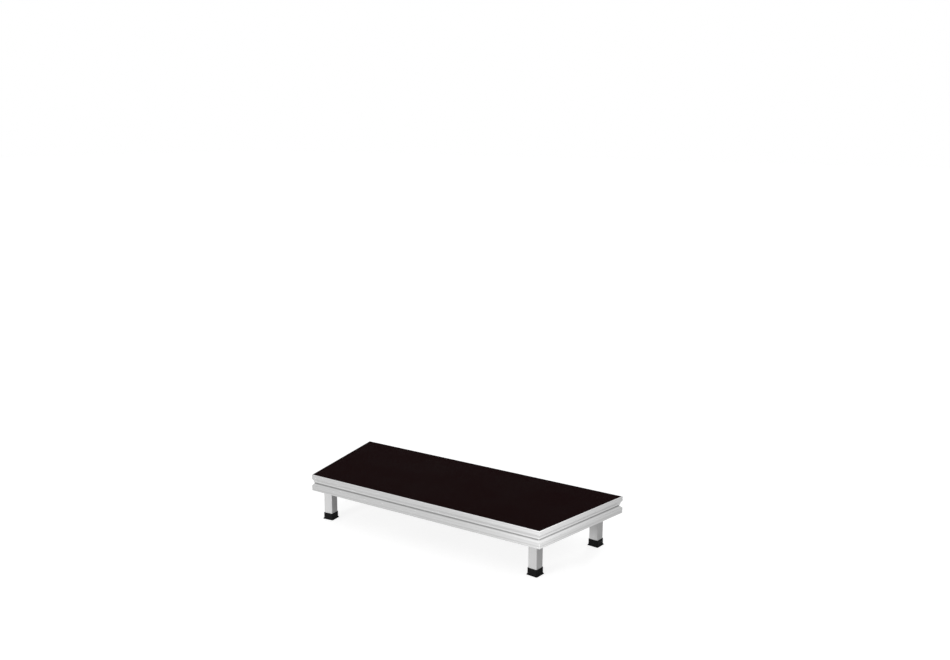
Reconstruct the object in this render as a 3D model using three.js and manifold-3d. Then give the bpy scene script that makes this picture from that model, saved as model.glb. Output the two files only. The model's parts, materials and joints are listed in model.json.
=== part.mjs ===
// Choir riser: one wedge-shaped stage module. A film-faced plywood deck lies in a frame of
// grooved aluminium rails with mitred corners. A casting in each corner holds a square leg,
// which a hand-turned clamp grips.
//
// Lengths are in millimetres. X runs to the right along the riser, Y from its short front edge
// to its long back edge, and Z up. The origin is on the floor under the middle of the outline.

import * as THREE from 'three';
import { mergeVertices } from 'three/addons/utils/BufferGeometryUtils.js';
import Module from 'manifold-3d';

const wasm = await Module();
wasm.setup();

// Driving dimensions of the whole riser
const deckHeight = 200; // floor to the top of the deck
const frontLength = 1100; // short edge, outer face to outer face
const backLength = 1288; // long edge
const frameDepth = 500; // front face to back face

// Clearances
const seatGap = 0.3; // between two pieces that bear on each other
const mitreGap = 0.15; // what each rail's end stands back from the mitre line
const boltGap = 0.3; // round a shank or a stud in its hole
const slideGap = 0.4; // round a piece that slides

// Deck panel
const panelThickness = 12;
const panelEdgeGap = 0.5; // between the panel's edge and the lip

// Rail section, inwards from the outer face and down from the top edge
const railHeight = 70;
const railWidth = 30;
const railWall = 3;
const railInnerWall = 4; // the bolts thread into it
const railWeb = 3; // level web behind the groove
const lipWidth = 3;
const topEdgeRadius = 2.6;
const bottomEdgeRadius = 2.4;
const innerEdgeRadius = 1.2;
const upperBandHeight = 17.2; // flat band above the groove
const upperFlankHeight = 10.5;
const grooveStepDepth = 5.8;
const grooveStepHeight = 4.8;
const grooveDepth = 9.2;
const middleFlankHeight = 5.3;
const lowerFlankHeight = 9.6;
const fluteWidth = 6;
const fluteDepth = 0.6;
const upperFluteDrop = 8; // from the top edge
const lowerFluteRise = 9; // from the bottom edge

// Legs
const legSize = 40;
const legWall = 3;
const legEdgeRadius = 3;
const legInnerRadius = 1.5;
const frontLegInset = 60; // leg's axis to the outer faces of both rails at a front corner
const backLegInset = 67; // the same at a back corner

// Feet
const footHeight = 28;
const footFloor = 6; // rubber under the leg's end
const footWall = 1.5;
const footFlare = 2.8; // how far the base stands out on each side
const footFlareHeight = 6;
const footBaseEdge = 1.4; // upright edge of the base
const footChamfer = 0.8;
const footRimChamfer = 0.6;

// Corner castings
const stopPlate = 6; // plate under the deck, which stops the leg
const socketWall = 5.6;
const socketEdgeRadius = 5;
const socketLift = 4; // mouth of the socket above the rail's bottom
const wingThickness = 5;
const wingStart = 4; // clear of the other wing at the corner
const wingEndRadius = 8;
const ribWidth = 16;
const plateLug = 8; // how far the plate stands in from the wings
const plateNose = 24; // width of the plate's inner end
const boltSetOff = 16; // socket's side to the bolts' line
const boltEdge = 13; // bolts' line to the wing's end
const boltMargin = 2; // from a bolt's flange to the plate and to the wing's lower edge

// Bolts
const boltRadius = 4;
const boltLength = 14; // under the head
const boltFlangeRadius = 8.5;
const boltFlangeHeight = 1.6;
const boltHeadWidth = 13; // across flats
const boltHeadHeight = 6.4;
const boltTipChamfer = 0.8;

// Leg clamps
const clampDrop = 28; // clamp's axis below the deck's underside
const shoeWidth = 20;
const shoeThickness = 6;
const shoeEdgeRadius = 2;
const shoeSocketRadius = 3.8;
const shoeSocketDepth = 3.5;
const shoeTravel = 3; // two turns of the stud
const nutWidth = 17; // across flats
const nutThickness = 8;
const studRadius = 5;
const studNoseRadius = 3.4;
const studChamfer = 1;
const studGrip = 12; // length of the stud inside the knob
const bossFloor = 5; // metal behind the nut
const bossRootRadius = 19;
const bossTipRadius = 14;
const knobRadius = 20;
const knobLobeDepth = 3.6;
const knobThickness = 14;
const knobBevel = 1.6;
const knobHubRadius = 10.5;
const knobHubLength = 5;
const knobStandOff = 3; // hub to the boss when the clamp is tight

// Cross braces
const braceOffset = 210; // each brace's axis from the middle
const braceWidth = 40;
const braceHeight = 30;
const braceWall = 2.5;
const braceEdgeRadius = 2.5;
const braceInnerRadius = 1;
const saddleWall = 3;
const saddleReach = 32;
const saddleSide = 18; // height of the cradle's cheeks
const saddleTongueRadius = 11;
const saddleBoltGap = 1; // from the cradle to the bolt's flange

// Counts and overruns
const knobLobes = 6;
const lobeSteps = 6; // points on each lobe
const roundSides = 16;
const boltSides = 12;
const curveSteps = 3;
const overrun = 1; // what a cutting tool stands out at its open end

// Heights that follow
const deckUnderside = deckHeight - panelThickness;
const railBottom = deckHeight - railHeight;
const legTop = deckUnderside - stopPlate;
const socketMouth = railBottom + socketLift;
const clampHeight = deckUnderside - clampDrop;
const lowerBoltHeight = socketMouth + boltMargin + boltFlangeRadius;
const upperBoltHeight = legTop - boltMargin - boltFlangeRadius;
const braceBottom = deckUnderside - braceHeight;
const saddleFloor = braceBottom - saddleWall;
const saddleBoltHeight = saddleFloor - saddleBoltGap - boltFlangeRadius;

// Widths that follow
const legHalf = legSize / 2;
const boreHalf = legHalf + slideGap;
const socketHalf = boreHalf + socketWall;
const wingFace = railWidth + seatGap; // outer side of a wing, from the rail's outer face
const wingMiddle = wingFace + wingThickness / 2;
const wingInside = wingFace + wingThickness;

// Places along a clamp's axis, from the leg's axis outwards
const shoeFront = legHalf + seatGap;
const shoeBack = shoeFront + shoeThickness;
const nutFront = shoeBack + shoeTravel + slideGap;
const nutBack = nutFront + nutThickness;
const pocketFloor = nutBack + seatGap;
const bossEnd = pocketFloor + bossFloor;
const knobStart = bossEnd + knobStandOff;

const wingBoltHeights = [lowerBoltHeight, upperBoltHeight];

const quarterTurn = Math.PI / 2;
const eighthTurn = Math.PI / 4;

const finishes = {
  railAluminium: { color: 0xcfd1d2, roughness: 0.42, metalness: 0.85 },
  legAluminium: { color: 0xc4c7c8, roughness: 0.48, metalness: 0.85 },
  castAluminium: { color: 0xa9acae, roughness: 0.62, metalness: 0.8 },
  filmFacedPly: { color: 0x1e1211, roughness: 0.6, metalness: 0 },
  blackRubber: { color: 0x1b1b1b, roughness: 0.85, metalness: 0 },
  blackPlastic: { color: 0x191919, roughness: 0.5, metalness: 0 },
  zincSteel: { color: 0xb4b7bc, roughness: 0.38, metalness: 0.9 },
};

/** A closed geometry as a solid that can be joined and cut. */
function solidOf(geometry) {
  const bare = geometry.index ? geometry.toNonIndexed() : geometry.clone();
  bare.deleteAttribute('normal');
  bare.deleteAttribute('uv');
  const merged = mergeVertices(bare);
  return new wasm.Manifold(new wasm.Mesh({
    numProp: 3,
    vertProperties: merged.attributes.position.array,
    triVerts: new Uint32Array(merged.index.array),
  }));
}

/** The geometry of a finished solid. */
function geometryOf(solid) {
  const mesh = solid.getMesh();
  const geometry = new THREE.BufferGeometry();
  geometry.setAttribute('position', new THREE.BufferAttribute(mesh.vertProperties, 3));
  geometry.setIndex(new THREE.BufferAttribute(mesh.triVerts, 1));
  const flat = geometry.toNonIndexed();
  flat.computeVertexNormals();
  return flat;
}

/** All the added geometries joined, less all the cut ones. */
function carve(added, cut) {
  let solid = solidOf(added[0]);
  for (const geometry of added.slice(1)) {
    solid = solid.add(solidOf(geometry));
  }
  for (const geometry of cut) {
    solid = solid.subtract(solidOf(geometry));
  }
  return geometryOf(solid);
}

/** A turn about Z followed by a move. */
function turnedTo(angle, x, y, z) {
  const matrix = new THREE.Matrix4().makeRotationZ(angle);
  return matrix.setPosition(x, y, z);
}

/** A flat shape made solid upwards from the given height. */
function raised(shape, bottom, top) {
  const geometry = new THREE.ExtrudeGeometry(shape, {
    depth: top - bottom,
    bevelEnabled: false,
    curveSegments: curveSteps,
  });
  return geometry.translate(0, 0, bottom);
}

/** Turns a bar that was drawn on XY and raised along Z to lie along X, its y upwards. */
function laidAlongX(geometry) {
  const cycle = new THREE.Matrix4().makeBasis(
    new THREE.Vector3(0, 1, 0),
    new THREE.Vector3(0, 0, 1),
    new THREE.Vector3(1, 0, 0),
  );
  return geometry.applyMatrix4(cycle);
}

/** A shape drawn on XY, made solid along X: its x runs along Y and its y along Z. */
function drawnAlongX(shape, start, end) {
  return laidAlongX(raised(shape, start, end));
}

/** A round bar along X, thinner at one end if asked. */
function roundAlongX(startRadius, endRadius, start, end, sides = roundSides) {
  const bar = new THREE.CylinderGeometry(endRadius, startRadius, end - start, sides);
  return bar.rotateZ(-quarterTurn).translate((start + end) / 2, 0, 0);
}

/** A six-sided bar along X with two flats level. */
function hexAlongX(acrossFlats, start, end) {
  const radius = acrossFlats / 2 / Math.cos(Math.PI / 6);
  const bar = new THREE.CylinderGeometry(radius, radius, end - start, 6);
  return bar.rotateY(Math.PI / 6).rotateZ(-quarterTurn).translate((start + end) / 2, 0, 0);
}

/** A profile of radius and place, turned about the X axis. */
function turnedAboutX(points, sides) {
  const profile = points.map(([radius, place]) => new THREE.Vector2(radius, place));
  return new THREE.LatheGeometry(profile, sides).rotateZ(-quarterTurn);
}

/** Draws a closed outline whose corners are rounded to one radius. */
function roundedOutline(path, corners, radius) {
  corners.forEach((corner, i) => {
    const before = corners[(i + corners.length - 1) % corners.length];
    const after = corners[(i + 1) % corners.length];
    const entry = before.clone().sub(corner).setLength(radius).add(corner);
    const exit = after.clone().sub(corner).setLength(radius).add(corner);
    if (i === 0) {
      path.moveTo(entry.x, entry.y);
    } else {
      path.lineTo(entry.x, entry.y);
    }
    path.quadraticCurveTo(corner.x, corner.y, exit.x, exit.y);
  });
  path.closePath();
  return path;
}

/** A rounded rectangle about its own middle. */
function roundedBox(path, halfWidth, halfHeight, radius) {
  return roundedOutline(path, [
    new THREE.Vector2(-halfWidth, -halfHeight),
    new THREE.Vector2(halfWidth, -halfHeight),
    new THREE.Vector2(halfWidth, halfHeight),
    new THREE.Vector2(-halfWidth, halfHeight),
  ], radius);
}

/** A hollow rounded rectangle, as a drawn tube has. */
function tubeSection(halfWidth, halfHeight, wall, radius, innerRadius) {
  const shape = roundedBox(new THREE.Shape(), halfWidth, halfHeight, radius);
  const bore = roundedBox(new THREE.Path(), halfWidth - wall, halfHeight - wall, innerRadius);
  shape.holes.push(bore);
  return shape;
}

// The four outer corners of the frame, counter-clockwise from above. Each gets the angle
// between its two rails, the direction that halves it, and the side on which its clamp lies.
const outline = [
  { name: 'front_left', x: -frontLength / 2, y: -frameDepth / 2, legInset: frontLegInset },
  { name: 'front_right', x: frontLength / 2, y: -frameDepth / 2, legInset: frontLegInset },
  { name: 'back_right', x: backLength / 2, y: frameDepth / 2, legInset: backLegInset },
  { name: 'back_left', x: -backLength / 2, y: frameDepth / 2, legInset: backLegInset },
];

const corners = outline.map((entry, i) => {
  const point = new THREE.Vector2(entry.x, entry.y);
  const next = outline[(i + 1) % outline.length];
  const previous = outline[(i + outline.length - 1) % outline.length];
  const toNext = new THREE.Vector2(next.x, next.y).sub(point).normalize();
  const toPrevious = new THREE.Vector2(previous.x, previous.y).sub(point).normalize();
  const half = Math.acos(toNext.dot(toPrevious)) / 2;
  const bisector = toNext.add(toPrevious);
  return {
    name: entry.name,
    legInset: entry.legInset,
    point,
    half,
    facing: Math.atan2(bisector.y, bisector.x),
    legReach: entry.legInset / Math.sin(half),
    legRun: entry.legInset / Math.tan(half),
    boltRun: entry.legInset / Math.tan(half) + socketHalf + boltSetOff,
    clampTurn: i % 2 === 0 ? eighthTurn : -eighthTurn,
  };
});

/** The point that lies the given distance in from both outer faces at a corner. */
function insetPoint(corner, distance) {
  const reach = distance / Math.sin(corner.half);
  return new THREE.Vector2(Math.cos(corner.facing), Math.sin(corner.facing))
    .multiplyScalar(reach)
    .add(corner.point);
}

/** A point of a corner's own frame, given along a rail and in from its outer face. */
function besideRail(corner, side, along, inward) {
  const cos = Math.cos(corner.half);
  const sin = Math.sin(corner.half);
  return new THREE.Vector2(along * cos + inward * sin, side * (along * sin - inward * cos));
}

const riser = new THREE.Group();

/** Adds a named piece to a group, with a material of its own. */
function addPiece(group, name, geometry, finish) {
  const mesh = new THREE.Mesh(geometry, new THREE.MeshStandardMaterial(finishes[finish]));
  mesh.name = name;
  group.add(mesh);
  return mesh;
}

/** The corners of a rail's outer face, from the bottom edge to the top. */
function railFace() {
  const grooveTop = railHeight - upperBandHeight;
  const stepTop = grooveTop - upperFlankHeight;
  const stepBottom = stepTop - grooveStepHeight;
  const apex = stepBottom - middleFlankHeight;
  const grooveBottom = apex - lowerFlankHeight;
  return [
    new THREE.Vector2(0, 0),
    new THREE.Vector2(0, grooveBottom),
    new THREE.Vector2(grooveDepth, apex),
    new THREE.Vector2(grooveStepDepth, stepBottom),
    new THREE.Vector2(grooveStepDepth, stepTop),
    new THREE.Vector2(0, grooveTop),
    new THREE.Vector2(0, railHeight),
  ];
}

/** Where the inner sides of the walls along two edges of an outline meet. */
function wallCorner(before, corner, after, wall) {
  const incoming = corner.clone().sub(before).normalize();
  const outgoing = after.clone().sub(corner).normalize();
  const across = new THREE.Vector2(incoming.y + outgoing.y, -incoming.x - outgoing.x);
  return across.multiplyScalar(wall / (1 + incoming.dot(outgoing))).add(corner);
}

/** The point at the given height on the line through two others. */
function atHeight(from, to, height) {
  return from.clone().lerp(to, (height - from.y) / (to.y - from.y));
}

/** A shallow hollow in the outer face, drawn upwards. */
function drawFlute(shape, middle) {
  shape.lineTo(0, middle - fluteWidth / 2);
  shape.quadraticCurveTo(2 * fluteDepth, middle, 0, middle + fluteWidth / 2);
}

/** The rail's section: two chambers, a rebate for the deck and a V groove with a step. */
function railSection() {
  const face = railFace();
  const ledge = railHeight - panelThickness;
  const shape = new THREE.Shape();
  shape.moveTo(bottomEdgeRadius, 0);
  shape.quadraticCurveTo(0, 0, 0, bottomEdgeRadius);
  drawFlute(shape, lowerFluteRise);
  for (const corner of face.slice(1, -1)) {
    shape.lineTo(corner.x, corner.y);
  }
  drawFlute(shape, railHeight - upperFluteDrop);
  shape.lineTo(0, railHeight - topEdgeRadius);
  shape.quadraticCurveTo(0, railHeight, topEdgeRadius, railHeight);
  shape.lineTo(lipWidth, railHeight);
  shape.lineTo(lipWidth, ledge);
  shape.lineTo(railWidth - innerEdgeRadius, ledge);
  shape.quadraticCurveTo(railWidth, ledge, railWidth, ledge - innerEdgeRadius);
  shape.lineTo(railWidth, innerEdgeRadius);
  shape.quadraticCurveTo(railWidth, 0, railWidth - innerEdgeRadius, 0);
  shape.closePath();

  const walls = face.slice(1, -1).map(
    (corner, i) => wallCorner(face[i], corner, face[i + 2], railWall),
  );
  const [lowerKnee, apex, stepBottom, stepTop, upperKnee] = walls;
  const webBottom = face[2].y - railWeb / 2;
  const webTop = webBottom + railWeb;
  const inside = railWidth - railInnerWall;
  const ceiling = ledge - railWall;
  const lowerChamber = [
    lowerKnee,
    new THREE.Vector2(railWall, railWall),
    new THREE.Vector2(inside, railWall),
    new THREE.Vector2(inside, webBottom),
    atHeight(lowerKnee, apex, webBottom),
  ];
  const shoulder = upperKnee.y < ceiling
    ? [new THREE.Vector2(railWall, ceiling), upperKnee]
    : [atHeight(stepTop, upperKnee, ceiling)];
  const upperChamber = [
    new THREE.Vector2(inside, webTop),
    new THREE.Vector2(inside, ceiling),
    ...shoulder,
    stepTop,
    stepBottom,
    atHeight(apex, stepBottom, webTop),
  ];
  shape.holes.push(new THREE.Path(lowerChamber), new THREE.Path(upperChamber));
  return shape;
}

/** A rail along X from its start corner, its outer face on Y zero, cut to both mitres. */
function railGeometry(length, start, end, holes) {
  const bar = raised(railSection(), 0, length);
  const place = bar.attributes.position;
  for (let i = 0; i < place.count; i += 1) {
    const atStart = place.getZ(i) < length / 2;
    const corner = atStart ? start : end;
    const cutBack = (place.getX(i) + mitreGap / Math.cos(corner.half)) / Math.tan(corner.half);
    place.setZ(i, atStart ? cutBack : length - cutBack);
  }
  laidAlongX(bar);
  const inside = railWidth - railInnerWall;
  const drills = holes.map(({ along, height }) => {
    const radius = boltRadius + boltGap;
    const drill = roundAlongX(radius, radius, inside - overrun, railWidth + overrun, boltSides);
    return drill.rotateZ(quarterTurn).translate(along, 0, height - railBottom);
  });
  return carve([bar], drills);
}

function addRails() {
  const names = ['front_rail', 'right_rail', 'back_rail', 'left_rail'];
  names.forEach((name, i) => {
    const start = corners[i];
    const end = corners[(i + 1) % corners.length];
    const run = end.point.clone().sub(start.point);
    const length = run.length();
    const holes = [];
    for (const height of wingBoltHeights) {
      holes.push({ along: start.boltRun, height });
      holes.push({ along: length - end.boltRun, height });
    }
    if (name === 'front_rail' || name === 'back_rail') {
      for (const offset of [-braceOffset, braceOffset]) {
        holes.push({ along: length / 2 + offset, height: saddleBoltHeight });
      }
    }
    const geometry = railGeometry(length, start, end, holes);
    const rail = addPiece(riser, name, geometry, 'railAluminium');
    rail.position.set(start.point.x, start.point.y, railBottom);
    rail.rotation.z = run.angle();
  });
}

function addDeckPanel() {
  const edge = corners.map((corner) => insetPoint(corner, lipWidth + panelEdgeGap));
  const geometry = raised(new THREE.Shape(edge), 0, panelThickness);
  const panel = addPiece(riser, 'deck_panel', geometry, 'filmFacedPly');
  panel.position.z = deckUnderside;
}

/** A hexagon bolt along X, its head's seat at zero and its shank towards minus X. */
function boltGeometry() {
  const shank = turnedAboutX([
    [0, -boltLength],
    [boltRadius - boltTipChamfer, -boltLength],
    [boltRadius, boltTipChamfer - boltLength],
    [boltRadius, 0],
    [boltFlangeRadius, 0],
    [boltFlangeRadius, boltFlangeHeight / 2],
    [boltHeadWidth / 2, boltFlangeHeight],
    [0, boltFlangeHeight],
  ], boltSides);
  return carve([shank, hexAlongX(boltHeadWidth, boltFlangeHeight / 2, boltHeadHeight)], []);
}

/** Seats a bolt in a hole, its head towards the given direction. */
function addBolt(name, x, y, z, direction) {
  const bolt = addPiece(riser, name, boltGeometry(), 'zincSteel');
  bolt.position.set(x, y, z);
  bolt.rotation.z = direction;
}

/** One wing: an upright plate along a rail, with rounded far corners and two bolt holes. */
function wingGeometry(corner, side) {
  const start = wingInside / Math.tan(corner.half) + wingStart;
  const end = corner.boltRun + boltEdge;
  const shape = new THREE.Shape();
  shape.moveTo(start, socketMouth);
  shape.lineTo(end - wingEndRadius, socketMouth);
  shape.quadraticCurveTo(end, socketMouth, end, socketMouth + wingEndRadius);
  shape.lineTo(end, deckUnderside);
  shape.lineTo(start, deckUnderside);
  shape.closePath();
  for (const height of wingBoltHeights) {
    const hole = new THREE.Path();
    hole.absarc(corner.boltRun, height, boltRadius + boltGap, 0, 2 * Math.PI, true);
    shape.holes.push(hole);
  }
  const plate = new THREE.ExtrudeGeometry(shape, {
    depth: wingThickness,
    bevelEnabled: false,
    curveSegments: boltSides / 2,
  });
  plate.translate(0, 0, -wingThickness / 2).rotateX(quarterTurn);
  const middle = -side * wingMiddle;
  return plate.translate(0, middle, 0).rotateZ(side * corner.half);
}

/** The rib that ties the socket to a wing. */
function ribGeometry(corner, side) {
  const length = corner.legInset - wingFace;
  const rib = new THREE.BoxGeometry(ribWidth, length, deckUnderside - socketMouth);
  const middle = -side * (wingFace + length / 2);
  rib.translate(corner.legRun, middle, (deckUnderside + socketMouth) / 2);
  return rib.rotateZ(side * corner.half);
}

/** The plate under the deck, from wing to wing and in over the socket. */
function stopPlateShape(corner) {
  const wingEnd = corner.boltRun + boltEdge;
  const cornerRun = wingFace / Math.tan(corner.half);
  const nose = corner.legReach + socketHalf;
  return new THREE.Shape([
    besideRail(corner, 1, cornerRun, wingFace),
    besideRail(corner, -1, wingEnd, wingFace),
    besideRail(corner, -1, wingEnd, wingInside + plateLug),
    new THREE.Vector2(nose, -plateNose / 2),
    new THREE.Vector2(nose, plateNose / 2),
    besideRail(corner, 1, wingEnd, wingInside + plateLug),
    besideRail(corner, 1, wingEnd, wingFace),
  ]);
}

/** A corner's casting in the corner's own frame, X along the line that halves the corner. */
function castingGeometry(corner) {
  const station = turnedTo(corner.clampTurn, corner.legReach, 0, 0);
  const clamp = turnedTo(corner.clampTurn, corner.legReach, 0, clampHeight);
  const socket = roundedBox(new THREE.Shape(), socketHalf, socketHalf, socketEdgeRadius);
  const bore = roundedBox(new THREE.Shape(), boreHalf, boreHalf, legEdgeRadius);
  const pocketSide = shoeWidth + 2 * slideGap;
  const pocket = new THREE.BoxGeometry(nutFront - legHalf, pocketSide, pocketSide);
  pocket.translate((nutFront + legHalf) / 2, 0, 0);
  const holeRadius = studRadius + slideGap;
  return carve([
    raised(socket, socketMouth, deckUnderside).applyMatrix4(station),
    raised(stopPlateShape(corner), legTop, deckUnderside),
    ribGeometry(corner, 1),
    ribGeometry(corner, -1),
    wingGeometry(corner, 1),
    wingGeometry(corner, -1),
    roundAlongX(bossRootRadius, bossTipRadius, boreHalf, bossEnd).applyMatrix4(clamp),
  ], [
    raised(bore, socketMouth - overrun, legTop).applyMatrix4(station),
    pocket.applyMatrix4(clamp),
    hexAlongX(nutWidth + 2 * seatGap, legHalf, pocketFloor).applyMatrix4(clamp),
    roundAlongX(holeRadius, holeRadius, legHalf, bossEnd + overrun).applyMatrix4(clamp),
  ]);
}

function addCasting(corner) {
  const name = `${corner.name}_corner_casting`;
  const casting = addPiece(riser, name, castingGeometry(corner), 'castAluminium');
  casting.position.set(corner.point.x, corner.point.y, 0);
  casting.rotation.z = corner.facing;
  let count = 1;
  for (const side of [-1, 1]) {
    const inward = corner.facing + side * (corner.half - quarterTurn);
    const spot = besideRail(corner, side, corner.boltRun, wingInside + seatGap)
      .rotateAround(new THREE.Vector2(), corner.facing)
      .add(corner.point);
    for (const height of wingBoltHeights) {
      addBolt(`${corner.name}_casting_bolt_${count}`, spot.x, spot.y, height, inward);
      count += 1;
    }
  }
}

/** Rings of a rounded square, each given by its half width and height, joined in order. */
function squareTurning(profile, radius) {
  const rings = profile.map(([half, height]) => {
    const ring = roundedBox(new THREE.Path(), half, half, Math.min(radius, half / 2));
    return ring.getPoints(curveSteps).slice(0, -1).map((p) => [p.x, p.y, height]);
  });
  const sides = rings[0].length;
  const positions = rings.flat();
  const bottomPole = positions.push([0, 0, profile[0][1]]) - 1;
  const topPole = positions.push([0, 0, profile[profile.length - 1][1]]) - 1;
  const faces = [];
  for (let side = 0; side < sides; side += 1) {
    const next = (side + 1) % sides;
    for (let ring = 0; ring < rings.length - 1; ring += 1) {
      const low = ring * sides;
      const high = low + sides;
      faces.push(low + side, low + next, high + next);
      faces.push(low + side, high + next, high + side);
    }
    const last = (rings.length - 1) * sides;
    faces.push(bottomPole, next, side);
    faces.push(topPole, last + side, last + next);
  }
  const geometry = new THREE.BufferGeometry();
  geometry.setAttribute('position', new THREE.Float32BufferAttribute(positions.flat(), 3));
  geometry.setIndex(faces);
  const flat = geometry.toNonIndexed();
  flat.computeVertexNormals();
  return flat;
}

/** A square rubber cap with a flared base, open at the top for the leg. */
function footGeometry() {
  const pocket = legHalf + seatGap;
  const outer = pocket + footWall;
  const base = outer + footFlare;
  return squareTurning([
    [base - footChamfer, 0],
    [base, footChamfer],
    [base, footBaseEdge],
    [outer, footFlareHeight],
    [outer, footHeight - footRimChamfer],
    [outer - footRimChamfer, footHeight],
    [pocket, footHeight],
    [pocket, footFloor],
  ], legEdgeRadius);
}

function addLeg(corner, station) {
  const section = tubeSection(legHalf, legHalf, legWall, legEdgeRadius, legInnerRadius);
  addPiece(station, `${corner.name}_leg`, raised(section, footFloor, legTop), 'legAluminium');
  addPiece(station, `${corner.name}_foot`, footGeometry(), 'blackRubber');
}

/** The pad that bears on the leg, with a blind socket for the stud's nose. */
function shoeGeometry() {
  const shape = roundedBox(new THREE.Shape(), shoeWidth / 2, shoeWidth / 2, shoeEdgeRadius);
  const pad = drawnAlongX(shape, shoeFront, shoeBack);
  const floor = shoeBack - shoeSocketDepth;
  const socket = roundAlongX(shoeSocketRadius, shoeSocketRadius, floor, shoeBack + overrun);
  return carve([pad], [socket]);
}

/** The clamp's nut, which sits in a pocket of the casting. */
function nutGeometry() {
  const radius = studRadius + boltGap;
  const body = hexAlongX(nutWidth, nutFront, nutBack);
  return carve([body], [roundAlongX(radius, radius, nutFront - overrun, nutBack + overrun)]);
}

/** The clamp's threaded stud: a nose in the shoe, the thread, and the end in the knob. */
function studGeometry() {
  const noseEnd = shoeBack - shoeSocketDepth + seatGap;
  const shoulder = shoeBack + seatGap;
  const end = knobStart + studGrip;
  return turnedAboutX([
    [0, noseEnd],
    [studNoseRadius, noseEnd],
    [studNoseRadius, shoulder],
    [studRadius - studChamfer, shoulder],
    [studRadius, shoulder + studChamfer],
    [studRadius, end],
    [0, end],
  ], roundSides);
}

/** The star knob: lobes round its rim, a round hub, and a blind hole for the stud. */
function knobGeometry() {
  const steps = knobLobes * lobeSteps;
  const rim = Array.from({ length: steps }, (_, i) => {
    const angle = (i / steps) * 2 * Math.PI;
    const dip = (knobLobeDepth / 2) * (1 - Math.cos(knobLobes * angle));
    const radius = knobRadius - dip;
    return new THREE.Vector2(radius * Math.cos(angle), radius * Math.sin(angle));
  });
  const head = new THREE.ExtrudeGeometry(new THREE.Shape(rim), {
    depth: knobThickness - 2 * knobBevel,
    bevelThickness: knobBevel,
    bevelSize: knobBevel,
    bevelOffset: -knobBevel,
    bevelSegments: 1,
  });
  const face = knobStart + knobHubLength;
  head.rotateY(quarterTurn).translate(face + knobBevel, 0, 0);
  const hub = roundAlongX(knobHubRadius, knobHubRadius, knobStart, face + knobBevel);
  const holeRadius = studRadius + boltGap;
  const holeEnd = knobStart + studGrip + seatGap;
  return carve([head, hub], [roundAlongX(holeRadius, holeRadius, knobStart - overrun, holeEnd)]);
}

function addClamp(corner, station) {
  const clamp = new THREE.Group();
  clamp.position.z = clampHeight;
  station.add(clamp);
  addPiece(clamp, `${corner.name}_clamp_shoe`, shoeGeometry(), 'zincSteel');
  addPiece(clamp, `${corner.name}_clamp_nut`, nutGeometry(), 'zincSteel');
  addPiece(clamp, `${corner.name}_clamp_stud`, studGeometry(), 'zincSteel');
  addPiece(clamp, `${corner.name}_clamp_knob`, knobGeometry(), 'blackPlastic');
}

/** A joist hanger on a rail: a back plate with a tongue, and a cradle for the brace. */
function saddleGeometry() {
  const inner = braceWidth / 2 + seatGap;
  const outer = inner + saddleWall;
  const cheekTop = braceBottom + saddleSide;
  const plate = new THREE.Shape();
  plate.moveTo(-outer, cheekTop);
  plate.lineTo(-outer, saddleFloor);
  plate.lineTo(-saddleTongueRadius, saddleBoltHeight);
  plate.absarc(0, saddleBoltHeight, saddleTongueRadius, Math.PI, 2 * Math.PI, false);
  plate.lineTo(outer, saddleFloor);
  plate.lineTo(outer, cheekTop);
  plate.closePath();
  const cradle = new THREE.Shape([
    new THREE.Vector2(-outer, cheekTop),
    new THREE.Vector2(-outer, saddleFloor),
    new THREE.Vector2(outer, saddleFloor),
    new THREE.Vector2(outer, cheekTop),
    new THREE.Vector2(inner, cheekTop),
    new THREE.Vector2(inner, braceBottom),
    new THREE.Vector2(-inner, braceBottom),
    new THREE.Vector2(-inner, cheekTop),
  ]);
  const plateEnd = wingFace + saddleWall;
  const radius = boltRadius + boltGap;
  const hole = roundAlongX(radius, radius, wingFace - overrun, plateEnd + overrun, boltSides);
  return carve([
    drawnAlongX(plate, wingFace, plateEnd),
    drawnAlongX(cradle, wingFace, wingFace + saddleReach),
  ], [
    hole.translate(0, 0, saddleBoltHeight),
  ]);
}

function addBraces() {
  const section = tubeSection(
    braceWidth / 2,
    braceHeight / 2,
    braceWall,
    braceEdgeRadius,
    braceInnerRadius,
  );
  const seat = frameDepth / 2 - wingFace - saddleWall - seatGap;
  for (const [name, x] of [['left_brace', -braceOffset], ['right_brace', braceOffset]]) {
    const brace = addPiece(riser, name, drawnAlongX(section, -seat, seat), 'railAluminium');
    brace.rotation.z = quarterTurn;
    brace.position.set(x, 0, braceBottom + braceHeight / 2);
    for (const [place, side] of [['front', -1], ['back', 1]]) {
      const saddleName = `${name}_${place}_saddle`;
      const saddle = addPiece(riser, saddleName, saddleGeometry(), 'castAluminium');
      saddle.position.set(x, side * frameDepth / 2, 0);
      saddle.rotation.z = -side * quarterTurn;
      addBolt(`${saddleName}_bolt`, x, side * seat, saddleBoltHeight, -side * quarterTurn);
    }
  }
}

addDeckPanel();
addRails();
for (const corner of corners) {
  addCasting(corner);
  const station = new THREE.Group();
  const legAxis = insetPoint(corner, corner.legInset);
  station.position.set(legAxis.x, legAxis.y, 0);
  station.rotation.z = corner.facing + corner.clampTurn;
  riser.add(station);
  addLeg(corner, station);
  addClamp(corner, station);
}
addBraces();

export default riser;
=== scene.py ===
"""Looks of the choir riser: a dark wedge-shaped deck in a frame of grooved aluminium rails.

Lengths are in metres. X runs to the right along the riser, Y from its short front edge to its
long back edge, and Z up. The origin is on the floor under the middle of the outline.
"""

from __future__ import annotations

import json
import logging
import math
from dataclasses import dataclass, field
from enum import Enum

import bpy
import numpy as np
from mathutils import Matrix, Vector
from mathutils.geometry import tessellate_polygon

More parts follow.
